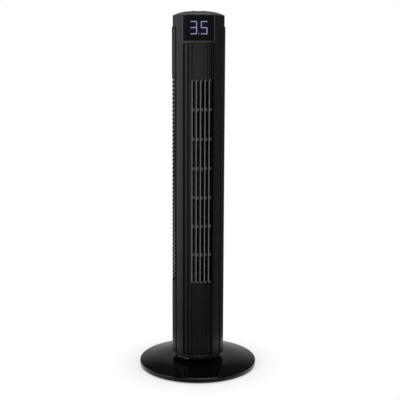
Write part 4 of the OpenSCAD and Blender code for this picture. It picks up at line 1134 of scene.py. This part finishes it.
marks = {
    "power": [mark_arc("power", 0.0028, 120, 420), mark_bar("power", 0, 0.0014, 0, 0.0040)],
    "speed": [mark_bar("speed", x, -0.0018, x, -0.0018 + h)
              for x, h in ((-0.0018, 0.0012), (0, 0.0024), (0.0018, 0.0036))],
    "mode": [mark_arc("mode", 0.0011, 180, 0, cx=-0.0011), mark_arc("mode", 0.0011, 180, 360, cx=0.0011)],
    "swing": [mark_arc("swing", 0.0030, 50, 130, cy=-0.0022),
              mark_head("swing", -0.0019, 0.0001, 225), mark_head("swing", 0.0019, 0.0001, 315)],
    "timer": [mark_arc("timer", 0.0024, 0, 350), mark_bar("timer", 0, 0, 0, 0.0014),
              mark_bar("timer", 0, 0, 0.0010, -0.0006)],
}
keys = {name: key(name) for name in key_names}
key_marks = {}
for name in key_names:
    key_marks[name] = joined(marks[name])
    key_marks[name].name = "mark_" + name
    print("key", name, "radius", round(key_r[name] / MM, 2), "mark strokes", len(marks[name]))

# %% [markdown]
# ## The foot of the tower and the base's underside
#
# A pan closes the tower's foot. Its rounded rim is the light ring that shows just above the base's
# neck. Under the base stand five rubber feet, turned with a soft edge and a shallow groove, and at
# the back is the small gland that the mains lead goes through.

# %% Turning the pan, the feet and the gland
pan_low, pan_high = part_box("turntable")
PAN_ROUND = 0.0024
PAN_Z0, PAN_Z1 = pan_low.z, FOOT_Z
HUB_R0, HUB_R1 = 0.01405, 0.0174
PAN_FLOOR = PAN_Z0 + 0.0024
HUB_TOP = PAN_FLOOR + 0.0052
pan = turn("foot_pan", [(HUB_R0, PAN_Z0), (REAR_R - PAN_ROUND, PAN_Z0)]
           + arc(REAR_R - PAN_ROUND, PAN_Z0 + PAN_ROUND, PAN_ROUND, 280, 360, 8)
           + [(REAR_R, PAN_Z1 - 0.0004), (REAR_R - 0.0004, PAN_Z1), (FRONT_IN_R, PAN_Z1),
              (FRONT_IN_R, PAN_FLOOR), (HUB_R1, PAN_FLOOR), (HUB_R1, HUB_TOP), (HUB_R0, HUB_TOP)], steps=192)
measured(pan)


def post(x, y, r, z0, z1):
    """A round post that stands on the pan's floor."""
    select_none()
    bpy.ops.mesh.primitive_cylinder_add(vertices=32, radius=r, depth=z1 - z0, location=(x, y, (z0 + z1) / 2))
    bpy.ops.object.transform_apply(location=True, rotation=False, scale=False)
    return bpy.context.object


TAB_R, TAB_HALF, TAB_DEPTH, TAB_H = 0.0562, 0.0045, 0.008, 0.042
POST_R = 0.0032
SWING_POST_Y = 0.034


def upright(x):
    """A tall tab, curved like the wall behind it, that takes one of the rear housing's screws."""
    left, right = x - TAB_HALF, x + TAB_HALF
    back_left, back_right = sqrt(TAB_R ** 2 - left ** 2), sqrt(TAB_R ** 2 - right ** 2)
    plan = [(left, back_left), (right, back_right),
            (right, back_right - TAB_DEPTH), (left, back_left - TAB_DEPTH)]
    return pull_up("upright", plan, PAN_FLOOR, PAN_FLOOR + TAB_H)


board_low, board_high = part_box("power_board")
swing_low, swing_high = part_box("swing_motor")
stud_x, stud_y = board_high.x - 0.005, board_high.y - 0.006
standing = [post(sx * stud_x, sy * stud_y, POST_R, PAN_FLOOR, board_low.z)
            for sx in (-1, 1) for sy in (-1, 1)]
ear_x = swing_high.x - 0.0035
standing += [post(sx * ear_x, SWING_POST_Y, POST_R, PAN_FLOOR, swing_low.z) for sx in (-1, 1)]
standing += [upright(-WELL_X), upright(WELL_X)]
pan_posts = joined(standing)
pan_posts.name = "pan_posts"
measured(pan_posts)

feet_low, feet_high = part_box("rubber_feet")
FOOT_R = 0.009
FOOT_RING_R = BASE_R - 0.0193
FOOT_TOP = 0.0018


def foot(angle):
    """One rubber foot: a turned pad with a rounded edge and a shallow groove."""
    centre = Vector(polar(FOOT_RING_R, angle)).to_3d()
    edge = arc(FOOT_R - 0.0006, 0.0006, 0.0006, 270, 360, 4)
    groove = [(0.0, 0.0), (0.0052, 0.0), (0.0055, 0.0004), (0.0062, 0.0004), (0.0065, 0.0)]
    return turn("foot", groove + edge + [(FOOT_R, FOOT_TOP), (0.0, FOOT_TOP)], steps=48, center=centre)


feet = joined([foot(a) for a in range(18, 378, 72)])
feet.name = "soft_feet"
measured(feet)

gland_low, gland_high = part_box("cord_gland")
GLAND_R, GLAND_BORE = 0.0026, 0.0018
gland_z = (gland_low.z + gland_high.z) / 2
gland_step, gland_end = gland_low.y + 0.0012, gland_high.y - 0.0004
gland = turn("gland", [(GLAND_BORE, gland_low.y), (GLAND_R + 0.0005, gland_low.y),
             (GLAND_R + 0.0005, gland_step), (GLAND_R, gland_step), (GLAND_R, gland_end),
             (GLAND_R - 0.0003, gland_high.y),
             (GLAND_BORE + 0.0003, gland_high.y), (GLAND_BORE, gland_end)], steps=48)
gland.rotation_euler = (-pi / 2, 0, 0)
gland.location = (0, 0, gland_z)
bpy.context.view_layer.objects.active = gland
gland.select_set(True)
bpy.ops.object.transform_apply(location=True, rotation=True, scale=False)
measured(gland)

# %% [markdown]
# ## Where every piece belongs
#
# Each piece rides on the body that carries it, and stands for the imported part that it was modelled
# on. The keys ride on their own bodies, so that a pressed key takes its mark down with it.

# %% Riding and replacing
tower_pieces = {
    "front_housing": [front], "display_lens": [lens, bezel], "display_digits": [digits],
    "outlet_grille": [insert, pads, fins],
    "rear_housing": [rear], "intake_grille": [intake, slats, ribs],
    "top_cap": [cap], "control_panel": [panel],
    "turntable": [pan, pan_posts],
}
base_pieces = {"base_cover": [base_cover], "rubber_feet": [feet], "cord_gland": [gland]}
for body, table in (("tower", tower_pieces), ("base", base_pieces)):
    for part, pieces in table.items():
        for piece in pieces:
            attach(piece, body)
            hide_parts(part)
for name in key_names:
    for piece in (keys[name], key_marks[name]):
        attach(piece, name + "_key")
    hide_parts("button_" + name)
print("pieces of the tower", sum(len(v) for v in tower_pieces.values()), "of the base", len(base_pieces))

# %% [markdown]
# ## Finishes
#
# Plastic of one colour is never quite one colour. A moulded skin has a fine grain that spreads the
# light, its roughness wanders a little where the mould was polished unevenly, and dust settles on
# whatever faces up. These three effects are node groups, so that every finish shares them. A group
# gives back only a value or a normal, and the shader itself stays in the material.

# %% Node groups for grain, wander and dust
def new_group(name, inputs, outputs):
    """An empty node group with its sockets, and its input and output nodes."""
    group = bpy.data.node_groups.new(name, "ShaderNodeTree")
    for label, kind, value in inputs:
        socket = group.interface.new_socket(name=label, in_out="INPUT", socket_type=kind)
        socket.default_value = value
    for label, kind in outputs:
        group.interface.new_socket(name=label, in_out="OUTPUT", socket_type=kind)
    return group, add_node(group, "NodeGroupInput"), add_node(group, "NodeGroupOutput")


def make_grain_group():
    """A fine leathery grain: gives a bumped normal."""
    group, given, result = new_group("moulded_grain",
                                     [("Scale", "NodeSocketFloat", 900.0), ("Depth", "NodeSocketFloat", 0.1)],
                                     [("Normal", "NodeSocketVector")])
    place = add_node(group, "ShaderNodeTexCoord").outputs["Object"]
    cells = add_node(group, "ShaderNodeTexNoise", {"Vector": place, "Scale": given.outputs["Scale"],
                     "Detail": 3, "Roughness": 0.6}, noise_dimensions="3D")
    bump = add_node(group, "ShaderNodeBump", {"Distance": 0.0002, "Height": cells.outputs["Fac"],
                    "Strength": given.outputs["Depth"]})
    group.links.new(bump.outputs["Normal"], result.inputs["Normal"])
    return group


def make_wander_group():
    """A value that wanders slowly about a middle, for roughness that isn't even."""
    group, given, result = new_group("slow_wander",
                                     [("Middle", "NodeSocketFloat", 0.4), ("Swing", "NodeSocketFloat", 0.06),
                                      ("Scale", "NodeSocketFloat", 18.0)],
                                     [("Value", "NodeSocketFloat")])
    place = add_node(group, "ShaderNodeTexCoord").outputs["Object"]
    cloud = add_node(group, "ShaderNodeTexNoise", {"Vector": place, "Scale": given.outputs["Scale"],
                     "Detail": 4}, noise_dimensions="3D")
    spread = combine(group, "SUBTRACT", cloud.outputs["Fac"], 0.5)
    scaled = combine(group, "MULTIPLY", spread, given.outputs["Swing"])
    total = add_node(group, "ShaderNodeMath", {0: scaled, 1: given.outputs["Middle"]}, operation="ADD",
                     use_clamp=True)
    group.links.new(total.outputs[0], result.inputs["Value"])
    return group


def make_dust_group():
    """A mask of settled dust: faces that look up, broken by a fine speckle."""
    group, given, result = new_group("settled_dust",
                                     [("Amount", "NodeSocketFloat", 0.05),
                                      ("Scale", "NodeSocketFloat", 260.0)],
                                     [("Mask", "NodeSocketFloat")])
    place = add_node(group, "ShaderNodeTexCoord").outputs["Object"]
    shape = add_node(group, "ShaderNodeNewGeometry")
    axes = add_node(group, "ShaderNodeSeparateXYZ", {"Vector": shape.outputs["Normal"]})
    upward = ramp(group, axes.outputs["Z"], 0.55, 1.0)
    speckle = add_node(group, "ShaderNodeTexNoise", {"Vector": place, "Scale": given.outputs["Scale"],
                       "Detail": 5, "Roughness": 0.7}, noise_dimensions="3D")
    fleck = add_node(group, "ShaderNodeMapRange", {"Value": speckle.outputs["Fac"], "From Min": 0.42,
                     "From Max": 0.75})
    both = combine(group, "MULTIPLY", upward, fleck.outputs["Result"])
    amount = add_node(group, "ShaderNodeMath", {0: both, 1: given.outputs["Amount"]}, operation="MULTIPLY",
                      use_clamp=True)
    group.links.new(amount.outputs[0], result.inputs["Mask"])
    return group


GRAIN, WANDER, DUST = make_grain_group(), make_wander_group(), make_dust_group()


def add_group(tree, group, **values):
    """A shared effect placed in a material, with its plain values set."""
    node = add_node(tree, "ShaderNodeGroup")
    node.node_tree = group
    for name, value in values.items():
        node.inputs[name].default_value = value
    return node


print("groups", [g.name for g in bpy.data.node_groups])

# %% [markdown]
# ### Plastics and rubber
#
# All the black mouldings share one recipe and differ in five numbers: how dark, how rough, how much
# the roughness wanders, how deep the grain is and how much dust shows. The base is polished, so its
# grain is off and its roughness low, which gives the wet look. The tower's housings are satin.

# %% One recipe for every plastic
DUST_GREY = (0.30, 0.29, 0.27, 1)


def plastic(name, colour, rough, swing=0.05, grain=0.0, grain_scale=900.0, dust=0.03, specular=0.5):
    """A moulded plastic: body colour, wandering roughness, fine grain and a trace of dust."""
    material, tree, shader = blank_material(name)
    wander = add_group(tree, WANDER, Middle=rough, Swing=swing)
    shader.inputs["Base Color"].default_value = (*colour, 1)
    if dust > 0:
        mask = add_group(tree, DUST, Amount=dust)
        tint = mix(tree, "RGBA", mask.outputs["Mask"], (*colour, 1), DUST_GREY)
        tree.links.new(tint, shader.inputs["Base Color"])
    tree.links.new(wander.outputs["Value"], shader.inputs["Roughness"])
    shader.inputs["Specular IOR Level"].default_value = specular
    if grain > 0:
        skin = add_group(tree, GRAIN, Scale=grain_scale, Depth=grain)
        tree.links.new(skin.outputs["Normal"], shader.inputs["Normal"])
    return material


FINISH = {
    "satin_black": plastic("satin_black", (0.0045, 0.0045, 0.0048), 0.34, 0.06, grain=0.12),
    "gloss_black": plastic("gloss_black", (0.001, 0.001, 0.0011), 0.09, 0.02, dust=0.002),
    "panel_black": plastic("panel_black", (0.010, 0.010, 0.0105), 0.30, 0.05, grain=0.08, grain_scale=1400),
    # About three times lighter than the panel black of the rest of the intake: painted highlight where the
    # slats catch the light.
    "slat_black_painted_highlight": plastic("slat_black_painted_highlight", (0.028, 0.028, 0.029), 0.30, 0.05, grain=0.06, grain_scale=1400),
    "duct_black": plastic("duct_black", (0.006, 0.006, 0.006), 0.60, 0.06, grain=0.2),
    # The insert's plain grey; on the lens bezel the same grey is painted highlight.
    "grille_grey": plastic("grille_grey", (0.10, 0.10, 0.103), 0.42, 0.05, grain=0.08),
    # A lighter copy of the insert's grey: painted highlight on the fins' noses.
    "fin_grey_painted_highlight": plastic("fin_grey_painted_highlight", (0.25, 0.25, 0.254), 0.42, 0.05, grain=0.08),
    # Satin black made about ten times lighter: painted highlight for the overhead light on the cap's dome.
    "cap_black_painted_highlight": plastic("cap_black_painted_highlight", (0.052, 0.052, 0.053), 0.38, 0.05, grain=0.12),
    "key_grey": plastic("key_grey", (0.035, 0.035, 0.036), 0.36, 0.05, grain=0.08, grain_scale=1400),
    "mark_grey": plastic("mark_grey", (0.42, 0.42, 0.43), 0.5, 0.03),
    "lens": plastic("lens", (0.006, 0.006, 0.0065), 0.26, 0.02, dust=0.0, specular=0.03),
    "rubber": plastic("rubber", (0.012, 0.012, 0.012), 0.80, 0.08, grain=0.35, grain_scale=700, specular=0.3),
    "gear_white": plastic("gear_white", (0.72, 0.71, 0.66), 0.38, 0.05, dust=0.0),
    "board_green": plastic("board_green", (0.015, 0.12, 0.05), 0.30, 0.05, dust=0.04),
    "board_brown": plastic("board_brown", (0.22, 0.13, 0.06), 0.55, 0.05, dust=0.04),
}
print("plastics", len(FINISH))

# %% [markdown]
# ### The lit digits
#
# The digits are light guides with a lamp behind them, a pale violet-white. They glow weakly, so that
# they read as lit in daylight and not as neon. The glow falls off a little from one stroke to the
# next, since no row of lamps is even.

# %% A glow that isn't quite even
DIGIT_DIM = (0.22, 0.215, 0.35, 1)
DIGIT_BRIGHT = (0.36, 0.355, 0.56, 1)
digit_material, digit_tree, digit_shader = blank_material("digits")
unevenness = add_group(digit_tree, WANDER, Middle=0.5, Swing=1.0, Scale=60)
glow_tint = mix(digit_tree, "RGBA", unevenness.outputs["Value"], DIGIT_DIM, DIGIT_BRIGHT)
digit_tree.links.new(glow_tint, digit_shader.inputs["Emission Color"])
for label, value in (("Base Color", (0.05, 0.05, 0.06, 1)), ("Roughness", 0.2), ("Emission Strength", 1)):
    digit_shader.inputs[label].default_value = value
FINISH["digits"] = digit_material
print("digit glow", DIGIT_DIM[:3], "to", DIGIT_BRIGHT[:3])

# %% [markdown]
# The lamps behind the digits also spill a little deep blue into the smoked plastic round them. The
# spill is an emission whose mask is a soft box on Object coordinates, placed by the digits' own box.

# %% A faint blue spill in the lens
SPILL = (0.0008, 0.0008, 0.016, 1)
SPILL_REACH = 0.004

lens_tree = FINISH["lens"].node_tree
lens_shader = next(n for n in lens_tree.nodes if n.type == "BSDF_PRINCIPLED")
lens_place = add_node(lens_tree, "ShaderNodeTexCoord").outputs["Object"]
lens_axes = add_node(lens_tree, "ShaderNodeSeparateXYZ", {"Vector": lens_place})


def closeness(axis, low, high):
    """1 between low and high on one axis, fading to 0 over the spill's reach."""
    middle, half = (low + high) / 2, (high - low) / 2
    off = combine(lens_tree, "ABSOLUTE", combine(lens_tree, "SUBTRACT", lens_axes.outputs[axis], middle), 0)
    return ramp(lens_tree, off, half + SPILL_REACH, half - SPILL_REACH)


spill_mask = combine(lens_tree, "MULTIPLY", closeness("X", digits_low.x, digits_high.x),
                     closeness("Z", digits_low.z, digits_high.z))
spill_tint = mix(lens_tree, "RGBA", spill_mask, (0, 0, 0, 1), SPILL)
lens_tree.links.new(spill_tint, lens_shader.inputs["Emission Color"])
lens_shader.inputs["Emission Strength"].default_value = 1
print("blue spill reaches", SPILL_REACH / MM, "mm past the digits")

# %% [markdown]
# ### Metals
#
# The parts inside are real mechanics, so they get real metals: ground shafts, zinc-plated plate and
# screws, cast aluminium bells, a laminated core whose edge shows its sheets, sintered bronze
# bearings and enamelled copper. The recipe is again one function. Its brushed or layered look comes
# from noise that is stretched along one axis before it is read.

# %% One recipe for every metal
def metal(name, colour, rough, stretch=(1, 1, 1), streak=0.08, scale=300, metallic=1.0):
    """A metal whose roughness is streaked along the axis with the smallest stretch."""
    material, tree, shader = blank_material(name)
    place = add_node(tree, "ShaderNodeTexCoord").outputs["Object"]
    squeeze = add_node(tree, "ShaderNodeMapping", {"Vector": place, "Scale": stretch})
    streaks = add_node(tree, "ShaderNodeTexNoise", {"Vector": squeeze.outputs["Vector"], "Scale": scale,
                       "Detail": 3}, noise_dimensions="3D")
    span = add_node(tree, "ShaderNodeMapRange", {"Value": streaks.outputs["Fac"], "To Min": rough - streak,
                    "To Max": rough + streak})
    tree.links.new(span.outputs["Result"], shader.inputs["Roughness"])
    shader.inputs["Base Color"].default_value = (*colour, 1)
    shader.inputs["Metallic"].default_value = metallic
    return material


FINISH.update({
    "plate_steel": metal("plate_steel", (0.42, 0.42, 0.43), 0.42, metallic=0.9),
    "bright_steel": metal("bright_steel", (0.62, 0.62, 0.64), 0.22, stretch=(1, 1, 0.05)),
    "core_steel": metal("core_steel", (0.28, 0.28, 0.30), 0.50, stretch=(0.05, 0.05, 4)),
    "bell_aluminium": metal("bell_aluminium", (0.68, 0.68, 0.70), 0.48, scale=900),
    "screw_zinc": metal("screw_zinc", (0.55, 0.56, 0.58), 0.32),
    "bearing_bronze": metal("bearing_bronze", (0.50, 0.36, 0.16), 0.45, scale=1200),
    "winding_copper": metal("winding_copper", (0.55, 0.22, 0.09), 0.30, stretch=(0.2, 0.2, 6), scale=200),
})
print("finishes", len(FINISH))

# %% [markdown]
# ## Dressing the parts
#
# The imported parts that still show keep their shape and only get their finish. The record names a
# slot for each of them, so the finish is looked up under the slot's name. The modelled pieces are
# dressed one by one, from a table that also lists the slot that each finish belongs to.

# %% Putting the finishes on
SLOT_PARTS = {
    "duct_black": ("air_duct", "duct_tongue", "bearing_bracket", "wiring_loom", "impeller"),
    "plate_steel": ("base_plate", "motor_plate", "pivot_post", "gear_retainer", "ballast_ring"),
    "bright_steel": ("motor_shaft", "swing_shaft", "impeller_stub"),
    "core_steel": ("motor_stator", "motor_rotor"),
    "bell_aluminium": ("motor_upper_bell", "motor_lower_bell", "impeller_hub", "motor_capacitor",
                       "swing_motor"),
    "screw_zinc": ("base_screws", "retainer_screws", "motor_screws", "swing_motor_screws", "housing_screws",
                   "button_switches"),
    "bearing_bronze": ("motor_bearings", "upper_bearing"),
    "winding_copper": ("motor_windings",),
    "gear_white": ("swing_gear", "swing_pinion", "thrust_washer"),
    "board_green": ("display_board", "control_board"),
    "board_brown": ("power_board",),
}


def dress(piece, finish):
    """Gives a piece its finish."""
    piece.data.materials.clear()
    piece.data.materials.append(FINISH[finish])


for slot_name, parts in SLOT_PARTS.items():
    for part in parts:
        nodes[part].data.materials.clear()
        nodes[part].data.materials.append(FINISH[slot_name])
# The cap's lighter finish is painted highlight on its satin black.
DRESSED = (("satin_black", None, (front, rear, pan, pan_posts)), ("cap_black_painted_highlight", "satin_black", (cap,)),
           # The slats and their ribs wear the lighter black as painted highlight.
           ("panel_black", None, (panel, gland, intake)), ("slat_black_painted_highlight", "panel_black", (slats, ribs)),
           ("gloss_black", None, (base_cover,)), ("lens", None, (lens,)), ("digits", None, (digits,)),
           # The bezel's grey is painted highlight along the window's flare.
           # The insert's frame, part of the grey moulding, gets the duct's black: painted shade in the
           # openings.
           ("duct_black", "grille_grey", (insert,)), ("grille_grey", None, (pads, bezel)),
           # The fins' lighter grey is painted highlight.
           ("fin_grey_painted_highlight", "grille_grey", (fins,)), ("rubber", None, (feet,)))
for finish, slot_name, pieces in DRESSED:
    for piece in pieces:
        dress(piece, finish)
for name in key_names:
    dress(keys[name], "key_grey")
    dress(key_marks[name], "mark_grey")
